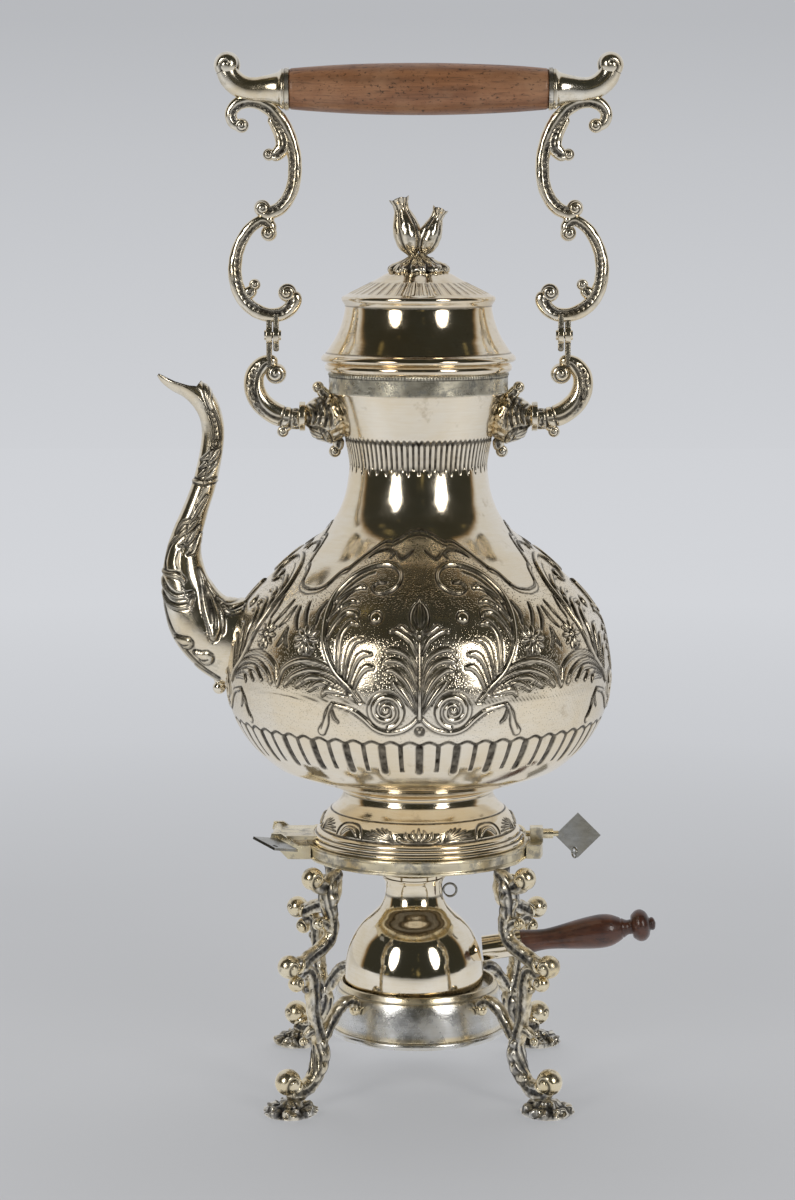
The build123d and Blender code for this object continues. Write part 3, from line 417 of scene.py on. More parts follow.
class Wiring:  # adds nodes to a tree, and links what goes into them
    def __init__(self, tree):
        self.tree = tree
        tree.nodes.clear()

    def add(self, kind, inputs=None, **settings):
        node = self.tree.nodes.new(kind)
        for key, value in settings.items():
            setattr(node, key, value)
        for key, value in (inputs or {}).items():
            self.feed(node.inputs[key], value)
        return node

    def feed(self, socket, value):
        if isinstance(value, bpy.types.NodeSocket):
            self.tree.links.new(value, socket)
        else:
            socket.default_value = value

    def between(self, value, low, high, start=0.0, end=1.0):
        inputs = {"Value": value, "From Min": low, "From Max": high, "To Min": start, "To Max": end}
        return self.add("ShaderNodeMapRange", inputs).outputs["Result"]

    def sum(self, a, b, operation="ADD"):
        return self.add("ShaderNodeMath", {0: a, 1: b}, operation=operation).outputs["Value"]

    def times(self, a, b):
        return self.sum(a, b, "MULTIPLY")

    def mixed(self, amount, a, b, blend="MIX"):
        node = self.add("ShaderNodeMix", data_type="RGBA", blend_type=blend)
        for index, value in ((0, amount), (6, a), (7, b)):
            self.feed(node.inputs[index], (*value, 1) if isinstance(value, tuple) else value)
        return node.outputs[2]


class Surface(Wiring):  # a material; sizes are in mm
    def __init__(self, name):
        self.material = bpy.data.materials.new(name)
        self.material.use_nodes = True
        super().__init__(self.material.node_tree)
        self.out = self.add("ShaderNodeOutputMaterial").inputs["Surface"]
        self.shader = self.add("ShaderNodeBsdfPrincipled")
        self.tree.links.new(self.shader.outputs["BSDF"], self.out)
        self.place = self.add("ShaderNodeTexCoord").outputs["Object"]

    def stretched(self, stretch):
        if stretch == (1, 1, 1):
            return self.place
        return self.add("ShaderNodeMapping", {"Vector": self.place, "Scale": stretch}).outputs["Vector"]

    def noise(self, size, detail=3.0, rough=0.55, stretch=(1, 1, 1)):
        inputs = {"Vector": self.stretched(stretch), "Scale": 1 / (size * mm), "Detail": detail,
                  "Roughness": rough}
        return self.add("ShaderNodeTexNoise", inputs).outputs["Fac"]

    def cells(self, size):
        inputs = {"Vector": self.place, "Scale": 1 / (size * mm)}
        return self.add("ShaderNodeTexVoronoi", inputs).outputs["Distance"]

    def mark(self, key):
        return self.add("ShaderNodeAttribute", attribute_name=key).outputs["Fac"]

    def hollows(self, low, high):  # 1 in a recess, 0 on the open surface
        point = self.add("ShaderNodeNewGeometry").outputs["Pointiness"]
        return self.between(point, high, low)

    def bump(self, height, depth, under=None):  # depth for a height that goes from 0 to 1
        inputs = {"Height": height, "Distance": depth * mm, "Strength": 1.0}
        if under is not None:
            inputs["Normal"] = under
        return self.add("ShaderNodeBump", inputs).outputs["Normal"]

    def into(self, **sockets):
        for key, value in sockets.items():
            self.feed(self.shader.inputs[key.replace("_", " ")], value)
        return self.material


def silver(name, look):
    w = Surface(name)
    # worn plate: warm clouds, dark spots and fine streaks
    cloud = w.between(w.noise(look["cloudSize"], 4.0), 0.36, 0.64)
    spots = w.between(w.noise(look["spotSize"], 6.0, 0.65), look["spotLow"], look["spotLow"] + 0.12)
    spots = w.times(spots, look["spots"])
    streaks = w.noise(0.55, 4.0, 0.6, (0.06, 0.06, 1.0))
    color = w.mixed(cloud, look["tint"], look["warm"])
    color = w.mixed(spots, color, look["spotTint"])
    color = w.mixed(w.between(streaks, 0.35, 0.75, 0.0, 0.22), color, look["warm"], "MULTIPLY")
    color = w.mixed(w.times(w.mark("gilt"), 0.85), color, look["gilt"])
    # oxide in the marked lines, in the hollows and in the punched dots; the same dark colour also paints
    # shade on inside walls, in the bolt hole and in creases, and a dark reflection band under the lid's
    # rolled edge
    matte, hatch = w.mark("matte"), w.mark("hatch")
    hollow = w.times(w.hollows(*look["hollowRange"]), look["hollows"])
    dark = w.sum(w.mark("dark"), hollow, "MAXIMUM")
    grime = w.between(w.noise(2.6, 4.0), 0.3, 0.7, 0.7, 1.0)
    color = w.mixed(w.times(w.between(dark, 0.05, 0.75), grime), color, look["oxide"])
    cells = w.cells(look["punchSize"])
    punches = w.times(w.between(cells, 0.30, 0.14), w.sum(matte, w.times(hatch, 0.45)))
    color = w.mixed(w.times(punches, look["punches"]), color, look["oxide"])
    rough = w.between(w.noise(7.0, 5.0, 0.65), 0.3, 0.7, look["gloss"], look["gloss"] + look["glossChange"])
    for part, more in ((matte, look["matteGloss"]), (spots, 0.18), (dark, 0.3)):
        rough = w.sum(rough, w.times(part, more))
    rough = w.add("ShaderNodeClamp", {"Value": rough, "Min": 0.04, "Max": 0.9}).outputs["Result"]
    # dings, scratches, grain, punched ground and hatching
    wave = w.add("ShaderNodeTexWave", {"Vector": w.place, "Scale": 300.0, "Distortion": 1.5, "Detail": 1.0},
                 wave_type="BANDS", bands_direction="DIAGONAL").outputs["Fac"]
    normal = w.bump(w.noise(look["dingSize"], 2.0), look["dings"])
    normal = w.bump(streaks, look["scratches"], normal)
    normal = w.bump(w.noise(0.35, 3.0, 0.6), look["grain"], normal)
    normal = w.bump(w.times(w.between(cells, 0.12, 0.42), matte), look["stipple"], normal)
    normal = w.bump(w.times(wave, hatch), look["hatch"], normal)
    return w.into(Base_Color=color, Metallic=1.0, Roughness=rough, Normal=normal)


# sizes and depths in mm; spots show where the noise passes spotLow; gloss is roughness, so less is
# brighter; hollows is how much oxide gathers in recesses, over the range of pointiness hollowRange
plainSilver = {
    "gilt": (0.86, 0.72, 0.46), "hollows": 0.0, "hollowRange": (0.42, 0.485), "matteGloss": 0.05,
    "punches": 0.75, "punchSize": 0.8, "stipple": 0.05, "hatch": 0.03,
}
silverLooks = {
    "kettle": {
        "tint": (0.89, 0.82, 0.69), "warm": (0.86, 0.74, 0.54), "oxide": (0.022, 0.017, 0.012),
        "spotTint": (0.50, 0.40, 0.27), "cloudSize": 30.0, "spotSize": 9.0, "spotLow": 0.60, "spots": 0.5,
        "gloss": 0.085, "glossChange": 0.08, "dings": 0.05, "dingSize": 8.0, "scratches": 0.010,
        "grain": 0.004,
    },
    "collar": {
        "tint": (0.76, 0.71, 0.57), "warm": (0.55, 0.51, 0.41), "oxide": (0.03, 0.025, 0.02),
        "spotTint": (0.20, 0.20, 0.19), "cloudSize": 5.0, "spotSize": 3.2, "spotLow": 0.50, "spots": 0.75,
        "gloss": 0.18, "glossChange": 0.20, "dings": 0.12, "dingSize": 3.5, "scratches": 0.012,
        "grain": 0.020,
    },
    "lid": {
        "tint": (0.88, 0.80, 0.66), "warm": (0.82, 0.69, 0.49), "oxide": (0.03, 0.022, 0.014),
        "spotTint": (0.50, 0.43, 0.32), "cloudSize": 16.0, "spotSize": 6.0, "spotLow": 0.55, "spots": 0.4,
        "gloss": 0.06, "glossChange": 0.07, "dings": 0.03, "dingSize": 7.0, "scratches": 0.018,
        "grain": 0.005,
    },
    "cast": {
        "tint": (0.87, 0.82, 0.71), "warm": (0.81, 0.70, 0.51), "oxide": (0.018, 0.016, 0.014),
        "spotTint": (0.45, 0.42, 0.36), "cloudSize": 14.0, "spotSize": 4.0, "spotLow": 0.55, "spots": 0.45,
        "gloss": 0.11, "glossChange": 0.12, "hollows": 0.9, "hollowRange": (0.43, 0.485), "dings": 0.06,
        "dingSize": 4.0, "scratches": 0.002, "grain": 0.014,
    },
    "stand": {
        "tint": (0.80, 0.77, 0.70), "warm": (0.74, 0.66, 0.50), "oxide": (0.02, 0.02, 0.022),
        "spotTint": (0.15, 0.15, 0.165), "cloudSize": 12.0, "spotSize": 4.5, "spotLow": 0.49, "spots": 0.72,
        "gloss": 0.15, "glossChange": 0.18, "hollows": 1.0, "hollowRange": (0.43, 0.49), "dings": 0.07,
        "dingSize": 4.0, "scratches": 0.002, "grain": 0.018,
    },
    "gilded": {
        "tint": (0.86, 0.78, 0.60), "warm": (0.80, 0.68, 0.45), "oxide": (0.02, 0.017, 0.014),
        "spotTint": (0.36, 0.33, 0.28), "cloudSize": 8.0, "spotSize": 3.5, "spotLow": 0.54, "spots": 0.7,
        "gloss": 0.15, "glossChange": 0.16, "hollows": 0.9, "hollowRange": (0.43, 0.485), "dings": 0.07,
        "dingSize": 4.0, "scratches": 0.002, "grain": 0.010,
    },
    "ring": {
        "tint": (0.90, 0.80, 0.56), "warm": (0.74, 0.66, 0.50), "oxide": (0.02, 0.018, 0.016),
        "spotTint": (0.27, 0.27, 0.27), "cloudSize": 10.0, "spotSize": 5.5, "spotLow": 0.52, "spots": 0.7,
        "gloss": 0.20, "glossChange": 0.20, "hollows": 0.6, "dings": 0.05, "dingSize": 5.0,
        "scratches": 0.008, "grain": 0.012,
    },
    "tray": {
        "tint": (0.74, 0.74, 0.73), "warm": (0.64, 0.61, 0.54), "oxide": (0.02, 0.019, 0.018),
        "spotTint": (0.10, 0.095, 0.09), "cloudSize": 11.0, "spotSize": 1.7, "spotLow": 0.64, "spots": 0.9,
        "gloss": 0.16, "glossChange": 0.20, "hollows": 0.5, "dings": 0.05, "dingSize": 5.0,
        "scratches": 0.014, "grain": 0.012,
    },
    "burner": {
        "tint": (0.89, 0.82, 0.69), "warm": (0.85, 0.75, 0.57), "oxide": (0.03, 0.025, 0.02),
        "spotTint": (0.40, 0.36, 0.30), "cloudSize": 14.0, "spotSize": 3.5, "spotLow": 0.63, "spots": 0.35,
        "gloss": 0.045, "glossChange": 0.06, "hollows": 0.4, "dings": 0.03, "dingSize": 7.0,
        "scratches": 0.004, "grain": 0.004,
    },
}
silverLooks["plate"] = dict(silverLooks["gilded"], tint=(0.33, 0.325, 0.30), warm=(0.29, 0.275, 0.23),
                            spotLow=0.58, gloss=0.10, dings=0.12)
silvers = {key: silver(key + "Silver", {**plainSilver, **look}) for key, look in silverLooks.items()}


def turnedWood(name, look):
    w = Surface(name)
    grain = w.noise(2.2, 5.0, 0.6, (0.05, 1.0, 1.0))
    pores = w.between(w.noise(0.7, 3.0, 0.6, (0.08, 1.0, 1.0)), 0.56, 0.72)
    worn = w.between(w.noise(14.0, 4.0), 0.42, 0.66)
    flecks = w.between(w.noise(1.1, 4.0, 0.7, (0.6, 1.0, 1.0)), 0.57, 0.68)
    color = w.mixed(w.between(grain, 0.3, 0.7), look["dark"], look["light"])
    color = w.mixed(w.times(worn, look["wear"]), color, look["worn"])
    for spots, amount in ((pores, 0.55), (flecks, look["flecks"])):
        color = w.mixed(w.times(spots, amount), color, look["pore"])
    rough = w.between(w.noise(6.0, 4.0), 0.3, 0.7, look["gloss"], look["gloss"] + 0.18)
    normal = w.bump(pores, -0.03, w.bump(grain, look["grain"]))
    return w.into(Base_Color=color, Roughness=rough, Normal=normal, Coat_Weight=look["varnish"],
                  Coat_Roughness=0.12, Specular_IOR_Level=0.5)


woodLooks = {
    "grip": {
        "dark": (0.18, 0.072, 0.030), "light": (0.42, 0.19, 0.085), "worn": (0.50, 0.28, 0.155),
        "pore": (0.018, 0.010, 0.007), "wear": 0.55, "flecks": 0.95, "gloss": 0.40, "grain": 0.05,
        "varnish": 0.25,
    },
    "handle": {
        "dark": (0.022, 0.008, 0.005), "light": (0.085, 0.024, 0.012), "worn": (0.26, 0.095, 0.042),
        "pore": (0.004, 0.002, 0.002), "wear": 0.6, "flecks": 0.6, "gloss": 0.30, "grain": 0.02,
        "varnish": 0.45,
    },
}
woods = {key: turnedWood(key + "Wood", look) for key, look in woodLooks.items()}


def cotton():
    w = Surface("wickCotton")
    weave = w.add("ShaderNodeTexWave", {"Vector": w.place, "Scale": 420.0, "Distortion": 2.0},
                  bands_direction="Z").outputs["Fac"]
    scorch = w.between(w.noise(2.5, 3.0), 0.4, 0.62)
    color = w.mixed(weave, (0.42, 0.37, 0.29), (0.62, 0.57, 0.47))
    color = w.mixed(w.times(scorch, 0.7), color, (0.05, 0.04, 0.035))
    return w.into(Base_Color=color, Roughness=0.9, Normal=w.bump(weave, 0.15), Sheen_Weight=0.3)


wickCotton = cotton()
print("materials made:", len(bpy.data.materials))


# Kettle body: one raised shell, chased all round; the pattern repeats four times, each mirrored

bodySizes = {
    "columns": 1440,
    "wall": 1.2,
    "bottomRadius": 28.1,
    "outline": [(28.1, 0.0), (34.0, 1.0), (40.1, 2.8), (48.0, 5.6), (55.0, 8.8), (64.2, 17.6), (70.1, 28.3),
                (72.0, 38.8), (72.2, 42.8), (71.9, 48.5), (69.4, 61.1), (65.2, 68.6), (59.6, 75.4),
                (47.2, 86.8), (33.7, 97.8), (28.1, 107.5), (25.9, 118.8), (26.3, 124.8), (27.8, 131.8),
                (30.0, 139.8), (32.4, 147.6)],
    "degreeWidth": 1.26,
    "grooves": 64,
    "flutes": 80,
    "petals": 10,
    "panelDepth": 0.10,
    # painted shade on the inside wall of the shell
    "insideShade": 0.35,
    "spiral": {"start": -100, "turns": 1.75, "outer": 6.3, "inner": 1.4},
}

# strokes of the chasing, as degrees from the middle of a repeat and mm up the profile
panelEdges = [
    [(0, 141), (6, 140), (11, 137.5), (15, 135.5)],
    [(15, 135.2), (18, 135.6), (21, 134.5), (26, 130), (30, 124.5), (32, 121)],
    [(32, 121), (34.2, 119.6), (36, 117), (38, 112.5)],
    [(38, 112.5), (40, 110.6), (42, 109.8), (46, 109)],
]
bigScroll = [(17, 68), (20, 72.5), (25, 78), (28.5, 85), (30.5, 92), (31.8, 100), (32, 108), (30, 114),
             (26.5, 119), (21, 122.5), (15, 123.8), (10.5, 122.5), (7.8, 119), (8, 114.5), (11, 111),
             (15, 109.8), (17.8, 111.5), (17, 114.3), (13.5, 115)]
scrollVeins = [
    [(29.5, 100), (29.5, 107), (27, 113), (23, 117.5), (19, 119.5)],
    [(27.5, 99), (27.5, 105), (25.5, 110), (22.5, 113.5)],
]
scrollLobes = [
    [(31, 104), (27.5, 109.5), (23.5, 112.5), (21, 112)],
    [(30.5, 97), (28, 102.5), (24.5, 106), (21.8, 105.5)],
    [(29, 90), (27.5, 96), (25, 100.5), (21.5, 100.8), (20.8, 98.8)],
    [(24, 77), (24.5, 85), (24.5, 92), (22.5, 96.5), (20, 96)],
    [(22, 76), (21.5, 83), (20, 88.5), (17.2, 90)],
    [(20.5, 74.5), (19, 81), (17, 84.5), (14.3, 84.8)],
    [(19, 72), (17.5, 77), (15.5, 80), (13.5, 80)],
]
sprayLobes = [
    [(18, 69.5), (23, 76), (30, 80.5), (37, 81), (43, 77.5), (45, 71)],
    [(20, 71), (26, 76.5), (33, 78), (39, 75.5), (42, 71.5)],
    [(21, 71), (27, 74.5), (33, 75.5), (37.5, 71.8)],
    [(21, 70.5), (26, 72.8), (30, 73.5), (33, 71)],
    [(21, 70), (24.5, 71), (27.5, 71.3), (28.5, 69.8)],
]
stemFronds = [
    [(1, 64), (3.5, 69), (6, 73), (7.5, 75)],
    [(0.8, 66), (2.2, 72), (4.5, 76.5), (7.5, 79.3), (9.5, 79)],
    [(0.8, 73), (2.5, 78.5), (5, 82), (8, 83), (10, 82.2)],
    [(0.8, 78), (2.5, 83), (5, 85.8), (8, 86.8), (9.8, 86)],
    [(0.8, 85), (2.4, 89.5), (4.5, 92), (7, 93.8), (9, 93.5)],
]
ribbon = [(0.6, 62), (2.5, 59.5), (5.5, 57.3), (9.5, 56.6), (13, 58.2), (16, 61.6), (19, 64.2),
          (22.5, 65.6), (25, 66.3)]
trumpet = [(25.5, 66.5), (27.3, 63), (28, 59), (29.5, 55.8)]
trumpetPetal = [(26, 65), (25.2, 61.5), (24, 59.8)]
trumpetVein = [(26.6, 65), (28.2, 60.5), (29.4, 57)]
stem = [(0, 62), (0, 80), (0, 92)]
bud = [(0, 91.5), (0, 94.5), (0, 97.5), (0, 100.5), (0, 103), (0, 105.2), (0, 107.5)]
budVeins = [[(side * 0.4, 94.5), (side, 98), (side, 101), (side * 0.4, 104.5)] for side in (0.9, 1.9)]
budLeaf = [(1, 92.5), (3.5, 93.5), (5.5, 95.5), (6.8, 95)]
flowerSprigs = [
    [(38, 94), (40, 99), (41, 103.5)],
    [(41, 92), (43, 96), (44, 101)],
    [(34.5, 95), (35, 100), (34, 104.5)],
    [(43, 85), (44.5, 88), (45, 92)],
    [(33.5, 84), (35.5, 83.5), (37.5, 84.5)],
]
topScrolls = [
    [(25, 127), (22, 130), (17, 131.5), (13, 129.5), (14, 127)],
    [(3, 131), (8, 127), (12, 130)],
]
bodyPlaces = {
    "volute": (9.6, 64.8), "boss": (14.2, 99.0), "flower": (36.3, 88.6), "dot": (0.0, 57.3),
    "grooveTop": 51.4, "grooveLow": 38.5, "hatchTop": 68.0, "fluteLow": 162.5, "fluteTop": 172.0,
}


def chaseBody():
    wide, at = bodySizes["degreeWidth"], bodyPlaces
    sheet = Sheet((0.0, 45.0), (0.0, 200.0), wide)
    angle, up = np.meshgrid(sheet.x / wide, sheet.y)
    edge = np.array(sum(panelEdges, []), float)
    roof = np.interp(angle, edge[:, 0], edge[:, 1])
    inPanel = partOf(roof - 1.5, up, 1.5) * partOf(up, at["hatchTop"], 3)
    sheet.layers["matte"] = inPanel
    sheet.height -= bodySizes["panelDepth"] * inPanel
    sheet.layers["hatch"] = partOf(up, at["grooveTop"], 1.5) * partOf(at["hatchTop"] + 2, up, 3)
    for run in panelEdges:
        sheet.raised(run, [0.45], 0.45, 0.35, 0.2, 0.9)
        sheet.scored([(a, t - 2.2) for a, t in run], 0.22, 0.12, 0.7, False)
    eachOf(sheet.lobe, flowerSprigs, 0.75, 0.3, 0.4)
    x, y = at["flower"]
    for i in range(bodySizes["petals"]):
        a = 2 * pi * i / bodySizes["petals"]
        petal = [(x + r * cos(a) / wide, y + r * sin(a)) for r in (1.6, 3.4, 5.2)]
        sheet.raised(petal, [0.35, 0.95, 0.5], 0.45, 0.3, 0.2, 0.9)
    sheet.dot(at["flower"], 1.2, 0.6, 0.3, 0.3)
    eachOf(sheet.lobe, topScrolls, 0.85, 0.4, 0.45)
    eachOf(sheet.lobe, sprayLobes, 1.15, 0.45, 0.6)
    eachOf(sheet.lobe, stemFronds, 1.1, 0.4, 0.6)
    eachOf(sheet.lobe, scrollLobes, 1.35, 0.6, 0.7)
    sheet.raised(bigScroll, [0.7, 0.9, 1.1, 1.1, 1.1, 0.9, 0.6, 0.5], 0.85, 0.35, 0.3)
    eachOf(sheet.scored, scrollVeins, 0.3, 0.25, 0.8)
    sheet.raised(circle(at["volute"], 3.4, 20, wide), [3.4], 0.25, 0.35, 0.2, 0.8)
    sheet.raised(voluteSpiral(wide), [1.0, 0.95, 0.8, 0.7], 0.7, 0.3, 0.35)
    sheet.dot(at["volute"], 1.3, 0.8, 0.35, 0.4)
    sheet.raised(ribbon, [0.75, 0.95, 0.95, 0.7], 0.55, 0.35, 0.3)
    sheet.lobe(trumpetPetal, 0.8, 0.4, 0.4)
    sheet.raised(trumpet, [0.6, 0.9, 1.3, 1.6], 0.55, 0.35, 0.3)
    sheet.scored(trumpetVein, 0.2, 0.15, 0.8)
    sheet.raised(stem, [0.75, 0.65, 0.7], 0.6, 0.3, 0.3)
    sheet.raised(bud, [1.0, 2.4, 3.8, 4.0, 2.9, 1.2, 0.3], 1.0, 0.4, 0.45)
    eachOf(sheet.scored, budVeins, 0.25, 0.25, 0.9)
    sheet.lobe(budLeaf, 1.0, 0.5, 0.6)
    sheet.dot(at["boss"], 2.5, 1.0, 0.45, 0.5)
    sheet.dot(at["dot"], 1.6, 0.5, 0.35, 0.4)
    sheet.scored(circle(at["dot"], 1.0, 16, wide), 0.3, 0.2, 0.8, False)
    chaseGrooves(sheet)
    chaseFlutes(sheet)
    return sheet


def voluteSpiral(wide, steps=33):
    (x, y), look = bodyPlaces["volute"], bodySizes["spiral"]
    points = []
    for i in range(steps + 1):
        t = i / steps
        a = radians(look["start"]) - 2 * pi * look["turns"] * t
        r = look["outer"] * (1 - t) + look["inner"] * t
        points.append((x + r * cos(a) / wide, y + r * sin(a)))
    return points


def chaseGrooves(sheet):  # the tapered grooves round the underside of the belly
    step = 360 / bodySizes["grooves"]
    low, top = bodyPlaces["grooveLow"], bodyPlaces["grooveTop"]
    for index in range(9):  # enough for the sheet's 45 degrees
        a = index * step
        if index % 2 == 0:
            sheet.scored([(a, low), (a, (low + top) / 2), (a, top - 1.0)], 0.95, 0.5, 1.0, False)
        else:
            for side in (-0.36, 0.36):
                sheet.scored([(a + side, low + 0.5), (a + side, top - 0.5)], 0.26, 0.2, 0.9, False)
        sheet.scored([(a, top), (a + step / 2, top + 1.5), (a + step, top)], 0.34, 0.25, 0.95, False)


def chaseFlutes(sheet):  # the short flutes round the top of the neck, under a wavy line
    step = 360 / bodySizes["flutes"]
    low, top = bodyPlaces["fluteLow"], bodyPlaces["fluteTop"]
    for index in range(11):
        a, crest = index * step, top + 0.6
        sheet.scored([(a, low + 2 * (index % 2)), (a, top)], 0.85, 0.28, 0.85, False)
        sheet.scored([(a, crest), (a + step / 2, top + 1.7), (a + step, crest)], 0.55, 0.2, 0.8, False)


def bodyProfile():
    return [(r, bodyLow + rise) for r, rise in bodySizes["outline"]]


def makeBody():
    line = curveThrough(bodyProfile(), 0.45)
    foot = straightThrough([(0, bodyLow), (bodySizes["bottomRadius"], bodyLow)], 4.0)
    neck = straightThrough([line[-1], (bodySizes["outline"][-1][0], mouthTop)], 1.5)
    outer = chained(foot, line, neck)
    start, count = distanceAlong(foot)[-1], len(outer)
    sheet = chaseBody()

    def surface(angles, along, outline):
        fold, up = foldedAngle(angles)[None], along[:count, None] - start
        layers = {}
        for key in ("height", *markNames):
            layers[key] = np.zeros((len(outline), len(angles)))
            layers[key][:count] = sheet.sampled(key, fold, up) * partOf(up, 0, 3.0)
        # painted shade darkens the inside wall
        layers["dark"][count:] = bodySizes["insideShade"]
        return layers.pop("height"), layers

    shape = lathe(walled(outer, bodySizes["wall"]), bodySizes["columns"], surface)
    makePiece("kettleBody", shape, silvers["kettle"], "kettle", ["kettle_body"])


makeBody()
print("kettle body made")


# Foot, with its moulding

footSizes = {
    "columns": 720,
    "wall": 1.1,
    "skirt": [(37.25, 5.3), (37.1, 6.2), (36.6, 8.0), (35.6, 9.9), (33.6, 12.0), (31.0, 14.2), (29.0, 16.8),
              (28.3, 19.2)],  # radius, and height above the ring's top
    "collar": [(28.3, 19.2), (28.9, 19.6), (29.5, 20.3), (29.4, 21.0), (28.8, 21.4), (28.3, 21.7)],
    "moulding": [(33.9, 0.15), (39.6, 0.15), (40.35, 0.5), (40.4, 1.1), (39.9, 1.7), (39.3, 1.85),
                 (39.55, 2.3), (39.5, 2.9), (39.0, 3.3), (38.5, 3.45), (38.6, 3.9), (38.4, 4.5), (37.9, 4.9),
                 (37.3, 5.25)],
    # heights of the chased lines on the skirt, of the painted shade line in the crease under the collar and
    # of the painted shade lines in the moulding's steps
    "lines": (0.3, 8.6), "groove": 19.25, "steps": (1.8, 3.4),
    "insideShade": 0.6,
    "boltHole": {"height": 2.0, "radius": 1.35, "edge": 0.25, "bottom": 36.1},
}
palmette = [
    [(0, 1.2), (0, 3.5), (0, 6.4)],
    [(0.8, 1.2), (2.6, 2.6), (3.6, 4.4), (3.0, 5.6)],
    [(1.5, 1.0), (5.0, 1.6), (7.4, 3.0), (7.8, 4.6)],
    [(2.5, 0.8), (7.0, 0.9), (10.6, 1.6), (12.0, 2.6)],
]
wingRoot = (14.5, 1.0)
wingFan = [(33.0, 1.8), (31.5, 3.2), (29.0, 4.6), (26.0, 5.6), (22.8, 6.0), (19.8, 5.7), (17.4, 4.8)]


def chaseFoot():
    sheet = Sheet((0.0, 45.0), (0.0, 22.0), 0.6, 14.0)
    for t in footSizes["lines"]:
        sheet.scored([(-1, t), (46, t)], 0.22, 0.12, 0.8, False)
    eachOf(sheet.raised, palmette, [0.25, 0.6, 0.5, 0.2], 0.35, 0.2, 0.15, 0.95)
    x, y = wingRoot
    for tip in wingFan:
        middle = (0.5 * (x + tip[0]) + 0.8, 0.5 * (y + tip[1]) + 0.7)
        sheet.raised([wingRoot, middle, tip], [0.2, 0.42, 0.22], 0.3, 0.2, 0.15, 0.95)
    sheet.scored([(35, 1.2), (36.5, 4.0), (39.5, 6.0), (45, 6.6)], 0.3, 0.18, 0.9)
    sheet.raised([(39, 1.6), (42, 3.8), (45, 4.4)], [0.3, 0.7, 0.6], 0.3, 0.2, 0.15, 0.9)
    return sheet


def onRing(key):  # points of the foot, whose heights count from the ring's top
    return [(r, ringTop + z) for r, z in footSizes[key]]


def makeFoot():
    outer = chained(curveThrough(onRing("skirt"), 0.25), curveThrough(onRing("collar"), 0.25))
    inner = [(r - footSizes["wall"], z) for r, z in outer[::6]]
    sheet = chaseFoot()
    count = len(outer)

    def surface(angles, along, outline):
        fold, up = foldedAngle(angles)[None], along[:count, None]
        lift, dark = np.zeros((2, len(outline), len(angles)))
        lift[:count], dark[:count] = sheet.sampled("height", fold, up), sheet.sampled("dark", fold, up)
        # painted shade on the inside of the skirt
        dark[count:] = footSizes["insideShade"]
        # painted shade: a dark line in the crease where the skirt meets the collar
        groove = bell(outline[:, 1:2] - ringTop - footSizes["groove"], 0.22)
        return lift, {"dark": np.maximum(dark, 0.7 * groove)}

    shape = lathe(chained(outer, inner[::-1]), footSizes["columns"], surface, closed=True)
    makePiece("kettleFoot", shape, silvers["kettle"], "kettle", ["kettle_foot"])


def makeMoulding():
    points = onRing("moulding")
    outer = curveThrough(points, 0.18)
    low = straightThrough([points[-1], (points[0][0], points[-1][1]), points[0]], 1.2)

    def surface(angles, along, outline):
        # painted shade: dark lines in the moulding's two stepped creases, and on its inside
        steps = [bell(outline[:, 1:2] - ringTop - height, 0.16) for height in footSizes["steps"]]
        inside = outline[:, :1] < points[0][0] + 2
        return 0, {"dark": np.where(inside, footSizes["insideShade"], 0.75 * np.maximum(*steps))}

    shape = lathe(chained(outer, low)[:-1], footSizes["columns"], surface, closed=True)
    verts, hole = shape["verts"], footSizes["boltHole"]  # the lock bolt runs in on the handle side
    away = np.hypot(verts[:, 1], verts[:, 2] - ringTop - hole["height"])
    deep = partOf(hole["radius"] + hole["edge"], away, hole["edge"]) * (verts[:, 0] > hole["bottom"])
    verts[:, 0] += deep * (hole["bottom"] - verts[:, 0])
    # painted shade darkens the bolt hole
    shape["marks"]["dark"] = np.maximum(shape["marks"]["dark"], 0.9 * deep)
    makePiece("footMoulding", shape, silvers["kettle"], "kettle", ["foot_base_ring"])


makeFoot()
makeMoulding()


# Band and half-round wire at the mouth

mouthSizes = {
    "radius": 32.35, "bandOuter": 33.4, "bandLow": 147.9, "bandHigh": 155.4, "wireOuter": 34.9,
    "beadStep": 1.15, "beadsDown": 0.75, "lineDown": 1.6, "columns": 900,
}


def makeMouthBand():
    at = mouthSizes
    low, high = bodyLow + at["bandLow"], bodyLow + at["bandHigh"]
    inside, outside = at["radius"], at["bandOuter"]
    outer = softened([(inside, low), (outside, low), (outside, high), (inside, high)], 0.35, 0.4)
    inner = straightThrough([(inside, high), (inside, low)], 2.5)[1:-1]
    beads = round(2 * pi * outside / at["beadStep"])

    def surface(angles, along, outline):
        face, height = outline[:, :1] > outside - 0.1, outline[:, 1:2] - high
        row = bell(height + at["beadsDown"], 0.42) * face
        bead = np.cos(np.radians(angles * beads))[None]
        dark = np.maximum(row * partOf(-bead, 0), 0.8 * bell(height + at["lineDown"], 0.2) * face)
        return row * (0.16 + 0.24 * bead), {"dark": dark}

    shape = lathe(chained(outer, inner), at["columns"], surface, closed=True)
    makePiece("mouthBand", shape, silvers["collar"], "kettle", ["mouth_collar"])


def makeMouthWire():
    at = mouthSizes
    low = bodyLow + at["bandHigh"]
    middle, half = (low + mouthTop) / 2, (mouthTop - low) / 2
    turn = np.radians(np.linspace(-90, 90, 15))
    nose = [(at["wireOuter"] - half + half * cos(a), middle + half * sin(a)) for a in turn]
    ring = softened(chained([(at["radius"], low)], nose, [(at["radius"], mouthTop)]), 0.2, 0.5)
    makePiece("mouthWire", lathe(ring, 360, closed=True), silvers["lid"], "kettle",
              ["mouth_bead"])


makeMouthBand()
makeMouthWire()
print("foot and mouth made")


# Lid: concave side, rolled edge, shallow fluted cone

